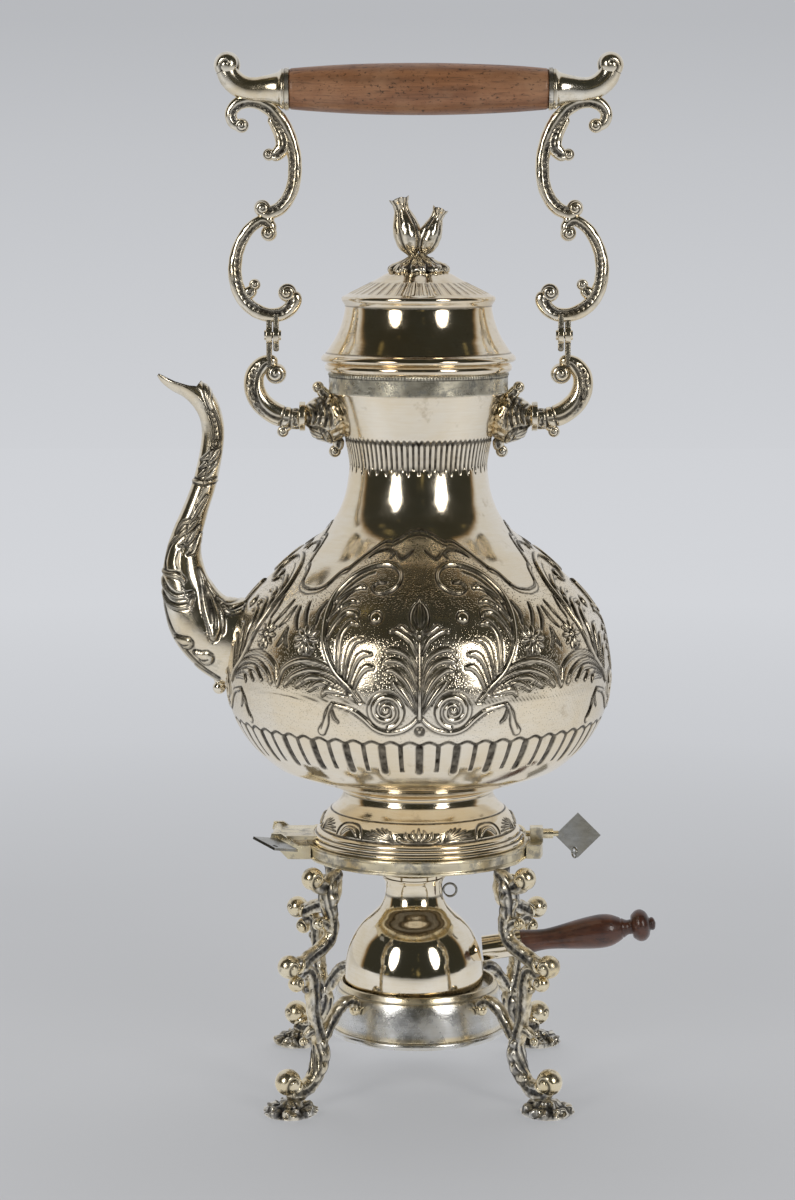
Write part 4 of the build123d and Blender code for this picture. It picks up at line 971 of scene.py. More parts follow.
lidSizes = {
    "wall": 1.0,
    "flutes": 40,
    "rim": [(33.6, 0.0), (35.3, 0.1), (36.2, 0.7), (36.3, 1.6), (35.6, 2.6), (34.7, 3.2), (34.1, 4.0)],
    "side": [(34.1, 4.0), (32.4, 6.6), (30.6, 9.6), (29.1, 12.9), (28.0, 16.4), (27.4, 19.4), (27.35, 20.6)],
    "edge": [(27.35, 20.6), (27.5, 21.1), (28.0, 21.9), (28.55, 22.7), (28.65, 23.5), (28.3, 24.2),
             (27.2, 24.7)],
    "cone": [(27.2, 24.7), (22.0, 27.3), (16.5, 30.1), (11.1, 33.0), (6.0, 34.4), (0.0, 34.8)],
    "fluteInner": 16.8, "fluteOuter": 26.6,
    "above": 0.2,
    "paintedDarkBands": [(20.7, 0.25), (3.45, 0.28)],  # painted shade: a dark reflection band under the rolled edge and a shade line in the crease above the rim; height and width
    "columns": 960,
}


def makeLid():
    at = lidSizes
    base = mouthTop + at["above"]
    runs = [curveThrough([(r, base + z) for r, z in at[key]], 0.3) for key in ("rim", "side", "edge", "cone")]
    outer = chained(*runs)
    inner = [(max(r - at["wall"], 0), z - 0.4 * at["wall"]) for r, z in outer[::5]][::-1]
    inner[0] = (0.0, base + at["cone"][-1][1] - at["wall"])
    count = len(outer)

    def surface(angles, along, outline):
        radius, height = outline[:count, :1], outline[:count, 1:2] - base
        onCone = height > at["cone"][0][1] + 0.1
        turn = angles[None] * at["flutes"] / 360
        phase = np.abs((turn + 0.5) % 1 - 0.5)  # 0 at a line, 0.5 between two
        inBand = partOf(radius - at["fluteInner"], 1.6 * (0.5 - phase), 0.7)
        inBand = inBand * partOf(at["fluteOuter"], radius, 1.2) * onCone
        line = bell(phase, 0.075 + 0.05 * (radius < 20))
        groove = np.maximum(line, 0.5 * bell(phase - 0.22, 0.05)) * inBand
        lift, dark = np.zeros((2, len(outline), len(angles)))
        lift[:count] = -0.22 * groove + 0.10 * inBand * np.cos(phase * 2 * pi)
        dark[:count] = 0.6 * groove
        # painted dark bands: a dark reflection under the rolled edge and shade in the crease above the rim
        for z, width in at["paintedDarkBands"]:
            dark[:count] = np.maximum(dark[:count], 0.55 * bell(height - z, width))
        return lift, {"dark": dark}

    shape = lathe(chained(outer, inner), at["columns"], surface)
    makePiece("lidShell", shape, silvers["lid"], "lid", ["lid_shell"])


finialSizes = {
    "buds": [
        {"foot": (-1.9, 313.0), "mouth": (-7.3, 334.6), "radius": 5.0, "lip": 0.76, "seed": 3},
        {"foot": (1.2, 313.4), "mouth": (8.1, 330.9), "radius": 4.1, "lip": 0.72, "seed": 8},
    ],
    # shares of a bud's radius, and of its length
    "budOutline": [(0.24, 0), (0.36, 0.06), (0.74, 0.16), (0.95, 0.28), (1, 0.42), (0.92, 0.56), (0.70, 0.70),
                   (0.54, 0.80), (0.56, 0.89), (0.68, 0.95)],
    "petals": 4, "petalTurn": 2.7, "tips": 0.04,
    # shares of the rosette's reach, and heights in mm
    "rosette": [(0.78, -0.6), (0.97, 0.2), (1, 1.5), (0.90, 2.8), (0.66, 3.9), (0.45, 5.0), (0.28, 6.0)],
    "rosetteUp": 33.0, "reach": 11.6, "leaves": 9,
}


def makeBud(at):
    foot, mouth = np.array(at["foot"]), np.array(at["mouth"])
    length, r, petals = np.linalg.norm(mouth - foot), at["radius"], finialSizes["petals"]
    phase = finialSizes["petalTurn"]
    lip = r * at["lip"]
    outline = [(r * out, length * up) for out, up in finialSizes["budOutline"]]
    outline = curveThrough(outline + [(lip, length)], 0.25)
    inner = [(lip * 0.86, length - 0.15), (r * 0.42, length * 0.86), (r * 0.2, length * 0.74),
             (0, length * 0.70)]
    line = chained([(0, 0)], outline, curveThrough(inner, 0.4))
    count = len(outline) + 1

    def surface(angles, along, outline):
        up = partOf(outline[:, 1:2], 0, length)
        turn = np.radians(angles)[None] * petals
        seam = np.exp(-((1 - np.cos(turn + phase)) / 0.16))  # where two petals meet
        lobe = np.cos(turn + phase + pi)
        lift = 0.02 * r * lobe * partOf(up, 0.80, 0.2) + 0.045 * r * lobe * (up < 0.9)
        lift = lift - 0.08 * r * seam * partOf(up, 0, 0.2) * partOf(1, up, 0.25)
        outside = (np.arange(len(outline)) < count)[:, None]
        ribs = (0.5 + 0.5 * np.cos(turn * 3 + 1)) ** 3
        ribs = ribs * (0.25 + 0.5 * partOf(1, up * 3.2) + 0.5 * partOf(up, 0.8, 0.2))
        # painted shade: the inside of the bud's mouth is fully dark
        dark = np.where(outside, np.maximum(0.9 * seam, ribs), 1.0)
        return lift * outside, {"dark": dark}

    shape = lathe(line, 96, surface)
    verts = shape["verts"]
    verts[:, :2] *= (1 + 0.014 * rippled(verts, 2.4, at["seed"]))[:, None]
    ring = np.arctan2(verts[:, 0], -verts[:, 1])
    tips = partOf(verts[:, 2] / length, 0.85, 0.15) * finialSizes["tips"]
    verts[:, 2] += tips * r * np.cos(petals * ring + phase + pi)
    lean = atan2(mouth[0] - foot[0], mouth[1] - foot[1])
    return placed(shape, (foot[0], 0, foot[1]), (cos(lean), 0, -sin(lean)), (0, 1, 0),
                  (sin(lean), 0, cos(lean)))


def makeRosette():
    at = finialSizes
    base, reach = mouthTop + lidSizes["above"] + at["rosetteUp"], at["reach"]
    outline = curveThrough([(reach * out, base + up) for out, up in at["rosette"]] + [(1.6, base + 7.0)], 0.2)
    line = chained([(0, base - 0.6)], outline, [(0, base + 7.1)])

    def surface(angles, along, outline):
        out, upper = partOf(outline[:, :1], 0, reach), outline[:, 1:2] > base + 1.0
        turn = np.radians(angles)[None]
        leaf = np.abs(np.cos(turn * at["leaves"] / 2 + 0.9 * (1 - out)))
        inner = np.abs(np.cos(turn * at["leaves"] / 2 + pi / 2 + 1.2 * out))
        edge, vein = partOf(1, leaf ** 0.8), np.exp(-((1 - leaf) / 0.012)) * upper
        crinkle = np.cos(turn * at["leaves"] * 3 + 7 * out)
        lift = -0.12 * reach * edge ** 1.6 * out ** 2 + 0.5 * inner * partOf(1, out * 1.5)
        lift = lift - 0.35 * vein * out + 0.16 * crinkle * out
        dark = np.maximum(partOf(edge * 1.9, 0.55), 0.8 * vein)
        return lift, {"dark": np.maximum(dark, 0.4 * partOf(-crinkle, 0) * out)}

    shape = lathe(line, 400, surface)
    shape["verts"] += rippled(shape["verts"], 3.0, 21)[:, None] * 0.22 * np.array([1, 1, 0.8])
    return shape


makeLid()
makePiece("finialRosette", makeRosette(), silvers["cast"], "lid", ["finial_leaves"])
makePiece("finialBuds", [makeBud(look) for look in finialSizes["buds"]], silvers["cast"], "lid",
          ["finial_buds"])
print("lid made")


# Spout: a cast S with leaves along it, cut off to a long beak over a notch and a heel

spoutSizes = {
    "reach": 72.2,  # stations count out from the widest part of the belly and up from its bottom
    "stations": [(-20.0, 51.0, 17.6, 0.74), (-3.0, 54.4, 16.6, 0.77), (8.8, 62.0, 13.4, 0.80),
                 (14.6, 74.0, 9.6, 0.84), (16.0, 85.0, 7.2, 0.88), (14.5, 94.3, 5.7, 0.90),
                 (11.4, 103.5, 4.8, 0.93), (7.9, 113.6, 4.4, 0.95), (5.6, 123.5, 4.3, 0.97),
                 (4.5, 132.5, 4.2, 1.0), (5.4, 139.5, 4.3, 1.0), (8.2, 145.2, 4.5, 1.0),
                 (12.6, 149.4, 4.4, 1.0), (18.0, 151.5, 3.6, 1.0), (21.9, 153.2, 2.5, 1.0),
                 (24.5, 154.8, 1.1, 1.0)],
    "mouthCut": [(-112.0, 272.5), (-98.0, 270.6), (-92.0, 267.2), (-86.0, 265.3), (-82.8, 265.0),
                 (-79.5, 268.9), (-70.0, 269.6)],
    "wall": 0.9,
    "heel": [((-75.1, 151.6), 2.5), ((-75.4, 154.6), 1.7)],
    "band": 230.0, "bandFrom": -86,
    # painted shade on the inside wall of the spout
    "insideShade": 0.6,
    "rows": 520,
    "sides": 132,
}
spoutRibs = [
    [(-96.4, 196.5), (-93.5, 195.4), (-90.0, 194.9), (-87.4, 193.2)],
    [(-96.6, 193.7), (-94.2, 189.6), (-90.6, 187.2), (-87.0, 187.6), (-84.6, 188.6)],
    [(-97.0, 189.4), (-94.0, 185.0), (-90.0, 183.4), (-86.0, 184.0), (-84.2, 186.6)],
]
spoutEdgeLine = [(-96.4, 187.0), (-94.4, 179.0), (-91.6, 172.4), (-86.9, 165.8), (-81.0, 160.0),
                 (-75.0, 156.0)]
spoutPanel = [(-91.0, 208.5), (-93.4, 205.4), (-95.0, 200.4), (-94.8, 197.3)]
spoutLeaves = [
    [(-90.4, 210.6), (-88.2, 214.2), (-84.9, 215.4), (-82.2, 219.6), (-79.0, 224.6)],
    [(-91.2, 207.6), (-88.2, 210.4), (-85.2, 212.6), (-82.2, 216.0)],
    [(-89.6, 205.8), (-86.1, 207.0), (-83.8, 210.2), (-81.9, 213.4)],
    [(-86.2, 202.6), (-84.0, 203.6), (-82.6, 206.6), (-81.6, 210.4)],
    [(-81.8, 231.6), (-79.2, 233.4), (-76.4, 236.6), (-74.2, 241.0)],
    [(-81.4, 234.6), (-78.6, 236.6), (-75.8, 239.4), (-74.2, 243.4)],
    [(-80.9, 238.0), (-78.6, 239.0), (-76.6, 241.4)],
]
spoutVeins = [[(-76.3, 245.0), (-76.2, 249.0), (-76.9, 253.0), (-78.9, 257.4)],
              [(-73.6, 245.5), (-73.9, 250.0), (-75.1, 254.4), (-76.6, 257.6)]]
spoutLipLeaf = [(-77.0, 257.2), (-78.1, 260.5), (-78.4, 264.0), (-79.2, 268.2)]
spoutPod = [(-82.2, 197.2), (-79.6, 189.6), (-77.8, 183.0), (-76.2, 177.4), (-76.4, 172.4)]
spoutPodLeaf = [(-79.8, 192.0), (-75.8, 186.6), (-73.2, 180.4), (-72.9, 174.4)]
spoutJoint = [[(-75.4, 186.2), (-71.6, 183.6), (-66.8, 184.6), (-61.5, 187.6)],
              [(-73.2, 183.6), (-70.0, 181.4), (-65.4, 182.8), (-60.5, 186.0)]]
spoutLobes = [((-86.6, 169.6), 2.5), ((-79.3, 164.2), 2.9)]


def chaseSpout():
    sheet = Sheet((-106.0, -56.0), (146.0, 276.0), 1.0, 8.0)
    sheet.raised(spoutPanel, [0.3, 0.4, 0.3], 0.3, 0.3, 0.35)
    eachOf(sheet.lobe, spoutLeaves, 1.15, 0.4, 0.75)
    sheet.scored([(-89.5, 203.5), (-90.2, 200.0), (-89.6, 197.5)], 0.5, 0.2, 0.5)
    eachOf(sheet.lobe, spoutRibs, 1.35, 0.8, 0.85)
    sheet.raised(spoutEdgeLine, [0.35, 0.55, 0.6, 0.5], 0.4, 0.35, 0.4)
    for (x, z), size in spoutLobes:
        sheet.raised([(x - 4.2, z + 2.0), (x - 1.5, z + 0.8), (x, z)], [1.0, 1.8, size], 0.9, 0.4, 0.5)
        sheet.scored([(x - 3.6, z + 0.2), (x - 1.2, z - 0.6), (x + 0.8, z - 0.2)], 0.3, 0.2, 0.8)
    sheet.raised([(-84.0, 160.6), (-80.0, 157.6), (-75.5, 154.8)], [0.5, 1.0, 0.7], 0.5, 0.35, 0.4)
    sheet.raised(spoutPod, [0.5, 1.7, 2.9, 2.9, 1.6], 1.0, 0.45, 0.5)
    sheet.scored([(-80.6, 191.0), (-78.6, 184.0), (-77.2, 177.6)], 0.45, 0.3, 0.9)
    sheet.scored([(-79.0, 188.0), (-76.6, 181.0), (-75.8, 176.0)], 0.3, 0.2, 0.8)
    sheet.raised(spoutPodLeaf, [0.4, 0.8, 0.9, 0.6], 0.7, 0.35, 0.45)
    eachOf(sheet.raised, spoutJoint, [0.7, 1.0, 1.1, 0.8], 0.6, 0.4, 0.5)
    eachOf(sheet.raised, spoutVeins, [0.25, 0.4, 0.3], 0.35, 0.3, 0.3, 0.9)
    for i in range(6):  # a row of seeds that bends with the neck
        sheet.dot((-75.2 - 0.10 * i - 0.036 * i * i, 246.5 + 1.9 * i), 0.38, 0.4, 0.25, 0.3, 0.9)
    sheet.raised(circle((-75.3, 244.0), 1.3, 14, 1.0), [0.45], 0.5, 0.3, 0.35)
    sheet.lobe(spoutLipLeaf, 1.5, 0.9, 0.8)
    for z in (229.0, 231.0):
        sheet.scored([(-84.5, z + 0.4), (-80.0, z - 0.5), (-75.5, z + 0.4)], 0.3, 0.25, 0.9, False)
    return sheet


def makeSpout():
    at = spoutSizes
    stations = [(-at["reach"] - out, bodyLow + up, r, flat) for out, up, r, flat in at["stations"]]
    line = curveThrough(stations, 0.4)
    along, across = distanceAlong(line), squareTo(line)
    end = along[-1]
    sheet = chaseSpout()
    phi = np.arange(at["sides"]) * 2 * pi / at["sides"]
    cut, profile = np.array(at["mouthCut"]), np.array(bodyProfile())

    def spot(s, turn, wall=0.0):  # a spot of the wall, and the way square to the spout there
        x, z, radius, flat = (np.interp(s, along, line[:, i]) for i in range(4))
        nx, nz = (np.interp(s, along, across[:, i]) for i in range(2))
        r = radius - np.minimum(wall, 0.45 * radius)
        n = np.cos(turn) * r
        return x + n * nx, -np.sin(turn) * r * flat, z + n * nz, nx, nz

    # each side of the spout starts inside the body and ends at the cut of the mouth
    tries = np.linspace(0, end, 900)
    starts, ends = [], []
    for turn in phi:
        x, y, z, _, _ = spot(tries, turn)
        inside = np.hypot(x, y) < np.interp(z, profile[:, 1], profile[:, 0]) - 0.5
        low = np.where(inside & (tries < 0.5 * end))[0]
        over = np.where((z > np.interp(x, cut[:, 0], cut[:, 1])) & (tries > 0.5 * end))[0]
        starts.append(tries[low[-1]] if len(low) else 0.0)
        ends.append(tries[over[0]] if len(over) else end)
    starts, ends = np.array(starts), np.array(ends)
    up = np.linspace(0, 1, at["rows"])[:, None]
    s = starts[None] + (ends - starts)[None] * up
    turn = np.broadcast_to(phi[None], s.shape)
    x, y, z, nx, nz = spot(s, turn)
    facing = partOf(np.abs(np.sin(turn)) * 2.2, 0)  # the pattern fades towards the outline
    lift = sheet.sampled("height", x, z) * (0.45 + 0.55 * facing)
    lift = lift * partOf(np.interp(s, along, line[:, 2]), 0, 3.0) * partOf((1 - up) * 60, 0)
    lift = lift + 0.45 * bell(z - at["band"], 0.8) * (x > at["bandFrom"])
    dark = sheet.sampled("dark", x, z) * facing
    out = lift * np.cos(turn)
    outer = np.stack([x + out * nx, y - lift * np.sin(turn), z + out * nz], -1)
    inner = s[::-8]
    inside = np.stack(spot(inner, np.broadcast_to(phi[None], inner.shape), at["wall"])[:3], -1)
    points = np.concatenate([outer, inside])
    # painted shade darkens the inside wall
    marks = np.vstack([dark, np.full(inner.shape, at["insideShade"])])
    quads = gridFaces(len(points), at["sides"], wrapRows=True)
    shapes = [shapeOf(points.reshape(-1, 3), quads, dark=marks)]
    shapes += [placed(ball(radius), (x, 0, z)) for (x, z), radius in at["heel"]]
    makePiece("spoutCast", shapes, silvers["cast"], "kettle", ["spout"])


makeSpout()
print("spout made")


# Cast scrolls: limbs with two bright rims and a dark textured groove between them, ending in curls

def rimGilt(c):
    return partOf(np.abs(c) * 3, 2.2)


def groovedSection(seed, wide=0.30, deep=0.36, flat=0.86, dark=1.0, rough=0.02, lean=0.0):
    phases = np.random.default_rng(seed).uniform(0, 2 * pi, 4)

    def section(phi, along, total):
        c, s = np.cos(phi), np.sin(phi)
        n, y = np.sign(c) * np.abs(c) ** 0.86, -np.sign(s) * np.abs(s) ** 0.74 * flat
        ends = partOf(np.minimum(along, total - along), 0, 2.0)
        drift = lean + 0.07 * np.sin(along * 0.35 + phases[0])
        groove = bell(c - drift, wide, 4) * partOf(np.abs(s) * 2, 0.6) * ends
        seeds = 0.5 + 0.5 * np.sin(along * 3.1 + phases[1]) * np.cos(phi * 5 + phases[2])
        y = y * (1 - groove * (deep - 0.16 * seeds))
        bark = rippled(pointsOf(along, c * 3.0, s * 3.0), 3.2, seed + 50) * rough * ends
        shade = dark * groove * (0.75 + 0.35 * (1 - seeds)) + 0.9 * partOf(-bark * 9, 0.35)
        gilt = 0.5 * partOf(bark * 9, 0) + 0.8 * rimGilt(c)
        return n * (1 + bark), y * (1 + bark), {"dark": partOf(shade, 0), "gilt": partOf(gilt, 0)}

    return section


def castLimb(stations, seed, **look):
    return sweep(stations, 44, groovedSection(seed, **look), 0.32)


def boxSection(wide):
    def section(phi, along, total):
        c, s = np.cos(phi), np.sin(phi)
        return np.sign(c) * np.abs(c) ** 0.35, -np.sign(s) * np.abs(s) ** 0.35 * wide, {}
    return section


def curlKnob(centre, radius, start=0.0, way=1, flat=0.95, pitch=0.52, deep=0.12):
    # a flattened ball with a spiral cut in its front and back
    shape = ball(radius, 64)
    across, up, thick = shape["verts"][:, 0], shape["verts"][:, 1], shape["verts"][:, 2]
    v = np.stack([across, thick * flat, up], 1)  # its poles point to the front and back
    reach = np.hypot(across, up) / radius
    turn = np.arctan2(up, across) * way / (2 * pi) - start / 360
    phase = (reach / pitch + turn) % 1.0
    away = np.minimum(phase, 1 - phase) * pitch
    cut = bell(away, 0.085) * partOf(1.0, reach, 0.12) * partOf(reach, 0, 0.25)
    marks = dict(shape["marks"], dark=0.95 * cut)
    return {"verts": v * (1 - deep * cut)[:, None] + np.array([centre[0], 0, centre[1]]), "marks": marks,
            "quads": shape["quads"][:, ::-1], "tris": shape["tris"][:, ::-1]}


def ringAlongX(start, end, radius, inner, height, columns):  # rounded, about an axis along X
    outline = softened([(inner, start), (radius, start), (radius, end), (inner, end)], 0.35, 0.5)
    return alongX(lathe(outline, columns, closed=True), height)


def flatEar(start, end, stemEnd, eye=3.6, bore=1.28, half=2.4):
    # the eye round the pivot, a lug beyond it, and a stem up or down to the casting
    middle, thick = (start + end) / 2, end - start
    way = 1 if stemEnd > pivotHeight else -1
    lug = [(middle, pivotHeight - way * past, thick / 2) for past in (eye + 2.6, bore + 0.2)]
    stem = straightThrough([(middle, pivotHeight + way * (eye - 1.0)), (middle, stemEnd)], 0.6)
    stem = [(x, z, thick / 2) for x, z in stem]
    return [ringAlongX(start, end, eye, bore, pivotHeight, 64),
            sweep(lug, 28, boxSection(half / thick * 1.7), 0.4),
            sweep(stem, 28, boxSection(half / (thick / 2)), 0.6, closeEnds=False)]


def bothSides(name, shapes, body, node):  # the casting of the handle side, and its mirror image
    for side, way in (("Left", -1), ("Right", 1)):
        makePiece(name + side, [placed(shape, x=(way, 0, 0)) for shape in shapes], silvers["cast"], body,
                  [node + "_" + side.lower()])


bailSizes = {
    "upper": [(64.6, 360.4, 2.0), (68.25, 362.4, 2.15), (69.0, 366.0, 2.3), (66.2, 369.2, 2.45),
              (61.4, 370.0, 2.5), (55.6, 367.8, 2.6), (49.9, 361.6, 2.7), (46.6, 353.4, 2.6),
              (45.6, 345.4, 2.55), (46.9, 337.6, 2.5), (50.6, 331.6, 2.55), (55.4, 329.2, 2.5),
              (58.4, 330.2, 2.3)],
    "leaf": [(54.8, 364.6, 1.7), (51.2, 358.4, 2.4), (50.2, 353.8, 2.7), (52.2, 350.9, 2.6),
             (55.2, 350.5, 2.2)],
    "lower": [(56.8, 321.6, 2.3), (54.9, 324.2, 2.3), (57.8, 326.4, 2.1), (62.4, 323.6, 2.2),
              (66.2, 317.6, 2.35), (68.0, 310.4, 2.5), (67.4, 302.8, 2.6), (64.4, 296.8, 2.7),
              (59.4, 292.8, 2.7), (53.6, 291.6, 2.6), (48.8, 293.2, 2.7), (46.2, 297.0, 2.9),
              (47.4, 300.2, 3.0)],
    "lowerLeaf": [(65.4, 298.6, 2.1), (62.6, 300.0, 2.4), (61.0, 302.4, 2.1)],
    "curls": [((65.3, 361.2), 2.75, 60, 1), ((55.2, 350.6), 2.3, 200, -1), ((57.8, 331.0), 3.15, 10, 1),
              ((55.4, 321.8), 3.0, 190, -1), ((48.7, 299.9), 3.5, 120, -1), ((60.8, 302.9), 2.2, 90, 1)],
    "joint": ((55.2, 326.8), 1.9),
    "ear": (51.8, 54.0, 292.4),  # its two sides, and how far down its stem goes
    # each limb's key here, its seed, and its look where that isn't the usual one
    "limbs": [("upper", 4, {"lean": -0.32}), ("leaf", 5, {"wide": 0.24, "deep": 0.22, "lean": 0.2}),
              ("lower", 6, {"lean": 0.32}), ("lowerLeaf", 7, {"wide": 0.24, "deep": 0.22})],
}


def makeBail():
    at = bailSizes
    shapes = [castLimb(at[key], seed, **look) for key, seed, look in at["limbs"]]
    shapes += [curlKnob(*curl) for curl in at["curls"]]
    (x, z), radius = at["joint"]
    shapes += [placed(ball(radius), (x, 0, z))] + flatEar(*at["ear"])
    bothSides("bailScroll", shapes, "bail", "bail_scroll")


ferruleSizes = {
    "start": 49.25,
    "horn": [(0.0, 0.0, 7.3), (0.9, 0.0, 7.45), (1.7, 0.0, 7.0), (2.4, 0.0, 6.35), (4.0, 0.0, 5.7),
             (7.0, -0.1, 5.05), (10.5, -0.3, 4.65), (14.0, 0.1, 4.4), (17.2, 1.5, 4.3), (19.9, 4.0, 4.25),
             (21.4, 7.2, 4.1)],
    "curl": (21.2, 8.7, 4.9),
}


def makeFerrules():
    start = ferruleSizes["start"]
    *horn, (x, z, radius) = [(start + out, gripHeight + up, r)
                             for out, up, r in ferruleSizes["horn"] + [ferruleSizes["curl"]]]
    shapes = [sweep(horn, 72, None, 0.3, closeEnds=False), curlKnob((x, z), radius, 215, 1, 0.98, 0.85)]
    bothSides("bailFerrule", shapes, "bail", "bail_ferrule")


gripSizes = {"half": 47.7, "endRadius": 7.4, "radius": 9.5, "bore": 2.0, "bevel": 0.4, "wear": 0.07}


def makeGrip():
    at = gripSizes
    up = np.linspace(-1, 1, 121)
    radius = at["radius"] - (at["radius"] - at["endRadius"]) * np.abs(up) ** 2.1
    outer = [(r, t * at["half"]) for r, t in zip(radius, up)]
    bore, end, half = at["bore"], at["endRadius"] - at["bevel"], at["half"]
    outline = chained([(bore, -half), (end, -half)], outer[1:-1], [(end, half), (bore, half)])

    def surface(angles, along, outline):
        points = pointsOf(outline[:, 1:2] * 0.12, np.radians(angles)[None] * 3.0, 0.0)
        return at["wear"] * rippled(points, 4.0, 5) * (outline[:, :1] > bore + 1), {}

    shape = alongX(lathe(outline, 192, surface, closed=True), gripHeight)
    makePiece("bailGrip", shape, woods["grip"], "bail", ["bail_grip"])


makeBail()
makeFerrules()
makeGrip()
dressNodes(silvers["cast"], "grip_rod", "bail_rivets")
dressNodes(silvers["stand"], "grip_beads")
print("bail made")


# Brackets on the neck: leafy boss, ringed arm, curl and pivot ear

bracketSizes = {
    "arm": [(41.6, 253.4, 4.1), (45.4, 253.1, 4.0), (49.4, 253.6, 4.05), (54.0, 255.4, 4.1),
            (58.6, 259.2, 4.05), (61.0, 264.0, 3.9), (61.0, 269.2, 3.6), (58.4, 273.0, 3.1),
            (55.2, 274.4, 2.6), (52.4, 273.6, 2.2)],
    "curl": ((53.0, 269.9), 3.9),
    "ring": (42.2, 44.4, 5.5, 1.0, 254.0),
    # each leaf, and the curl at its end
    "leaves": [([(47.4, 252.0, 2.1), (49.6, 250.0, 2.0), (50.7, 248.4, 1.6)], ((50.6, 248.4), 2.2)),
               ([(32.9, 260.0, 2.4), (35.8, 263.2, 2.1), (37.4, 265.0, 1.8)], ((37.4, 264.9), 2.2)),
               ([(30.0, 246.5, 2.4), (30.0, 243.2, 2.1), (30.9, 241.2, 1.7)], ((31.2, 241.0), 2.3))],
    "boss": [(25.0, 252.0, 8.6), (32.0, 252.8, 8.9), (36.2, 253.6, 8.5), (39.6, 254.0, 7.2),
             (42.6, 253.9, 5.0), (43.4, 253.9, 3.6)],
    "bossMiddle": (36.0, 0.0, 253.4),
    "ear": (54.4, 56.6, 272.4),  # its two sides, and how far up its stem goes
}
bossGrooves = [
    [(40.6, 258.6), (38.9, 257.4), (38.4, 254.6), (39.2, 252.0)],
    [(38.2, 260.6), (36.6, 258.0), (36.4, 254.6), (37.0, 251.8)],
    [(35.8, 261.0), (34.2, 257.6), (34.0, 253.6), (34.8, 250.6)],
    [(33.4, 258.6), (32.2, 254.6), (32.4, 250.6)],
    [(42.2, 250.8), (39.6, 250.2), (36.8, 250.0), (34.4, 248.2)],
    [(41.4, 256.0), (40.6, 253.6), (41.2, 251.4)],
]
bossLeaves = [
    [(41.4, 248.9), (38.6, 247.4), (35.4, 246.6)],
    [(36.0, 249.6), (34.0, 247.0), (32.6, 243.6)],
    [(34.4, 262.0), (36.4, 259.4), (37.0, 256.0)],
]


def makeBoss():
    sheet = Sheet((20.0, 48.0), (238.0, 268.0), 1.0, 10.0)
    eachOf(sheet.lobe, bossLeaves, 1.5, 0.7, 0.7)
    eachOf(sheet.scored, bossGrooves, 0.42, 0.6, 1.0)
    boss = sweep(bracketSizes["boss"], 110, None, 0.25)
    v = boss["verts"]
    away = v - np.array(bracketSizes["bossMiddle"])
    away = away / np.linalg.norm(away, axis=1)[:, None]
    facing = partOf(np.abs(v[:, 1]), 0, 2.5)
    v = v + away * (sheet.sampled("height", v[:, 0], v[:, 2]) * facing + 0.18 * rippled(v, 2.6, 9))[:, None]
    boss["verts"] = v
    boss["marks"]["dark"] = sheet.sampled("dark", v[:, 0], v[:, 2]) * facing
    return boss


def armSection(phi, along, total):
    # a cuff with two rings, a wandering line, and a punched ground inside the bend
    c, s = np.cos(phi), np.sin(phi)
    up = along / total
    wave = 0.34 * np.sin(up * 8.0 - 1.2)
    line = bell(c - wave, 0.17) * partOf(np.abs(s) * 3, 1.2)
    line = line * partOf((up - 0.12) * 9, 0) * partOf((0.97 - up) * 9, 0)
    seeds = bell(up - 0.62, 0.26, 6) * bell(c - (0.36 + wave * 0.4), 0.32, 4) * (np.abs(s) > 0.25)
    speck = partOf(rippled(pointsOf(along, c * 4, s * 4), 1.3, 71) + 0.35, 0)
    cuff, cuffLine = bell(up - 0.085, 0.045, 4), bell(up - 0.15, 0.012) + bell(up - 0.225, 0.010)
    r = 1 - 0.13 * line - 0.10 * seeds * speck - 0.10 * cuffLine - 0.08 * cuff * speck
    dark = np.maximum(np.maximum(line, seeds * (0.35 + 0.65 * speck)), np.maximum(cuffLine, cuff * speck))
    return c * r, -s * r * 0.92, {"dark": partOf(dark, 0), "gilt": 0.7 * rimGilt(c)}


def makeBrackets():
    at = bracketSizes
    shapes = [makeBoss(), sweep(at["arm"], 64, armSection, 0.25), curlKnob(*at["curl"], 250, -1, 0.9),
              ringAlongX(*at["ring"], 96)]
    for leaf, curl in at["leaves"]:
        shapes += [castLimb(leaf, 11, wide=0.3, deep=0.2), curlKnob(*curl, 90, 1, 0.9)]
    bothSides("bailBracket", shapes + flatEar(*at["ear"]), "kettle", "bail_bracket")


makeBrackets()
print("brackets made")


# Stand: ring, four cast scroll legs on leaf feet, tray and its rim

def roundRing(outline, columns, soft, surface=None):
    line = softened(outline + outline[:1], soft, 0.8)[:-1]
    return lathe(line, columns, surface, closed=True)


ringSizes = {
    "outer": 42.3, "wall": 1.4, "seatInner": 35.0, "seat": 1.5, "lipHeight": 1.1, "lip": 0.45, "wear": 0.10,
}


def makeRing():
    at = ringSizes
    outer, seat = at["outer"], at["seatInner"]
    inner, lip = outer - at["wall"], outer - at["lip"]
    outline = [(seat, ringTop - at["seat"]), (inner - 0.01, ringTop - at["seat"]), (inner, ringLow),
               (outer - 0.1, ringLow), (outer, ringLow + 0.7), (lip, ringLow + at["lipHeight"] + 0.3),
               (lip, ringTop - 1.5), (outer - 0.05, ringTop - 0.8), (outer - 0.25, ringTop), (seat, ringTop)]

    def surface(angles, along, outline):
        worn = rippled(pointsAround(outline, angles), 9.0, 17)
        outside = outline[:, :1] > inner + 0.2
        recess = outside * (outline[:, :1] < lip + 0.08)
        return at["wear"] * worn * outside, {"dark": 0.28 * recess * partOf(0.5 + worn, 0)}

    makePiece("standRing", roundRing(outline, 900, 0.22, surface), silvers["ring"], "stand",
              ["stand_ring"])


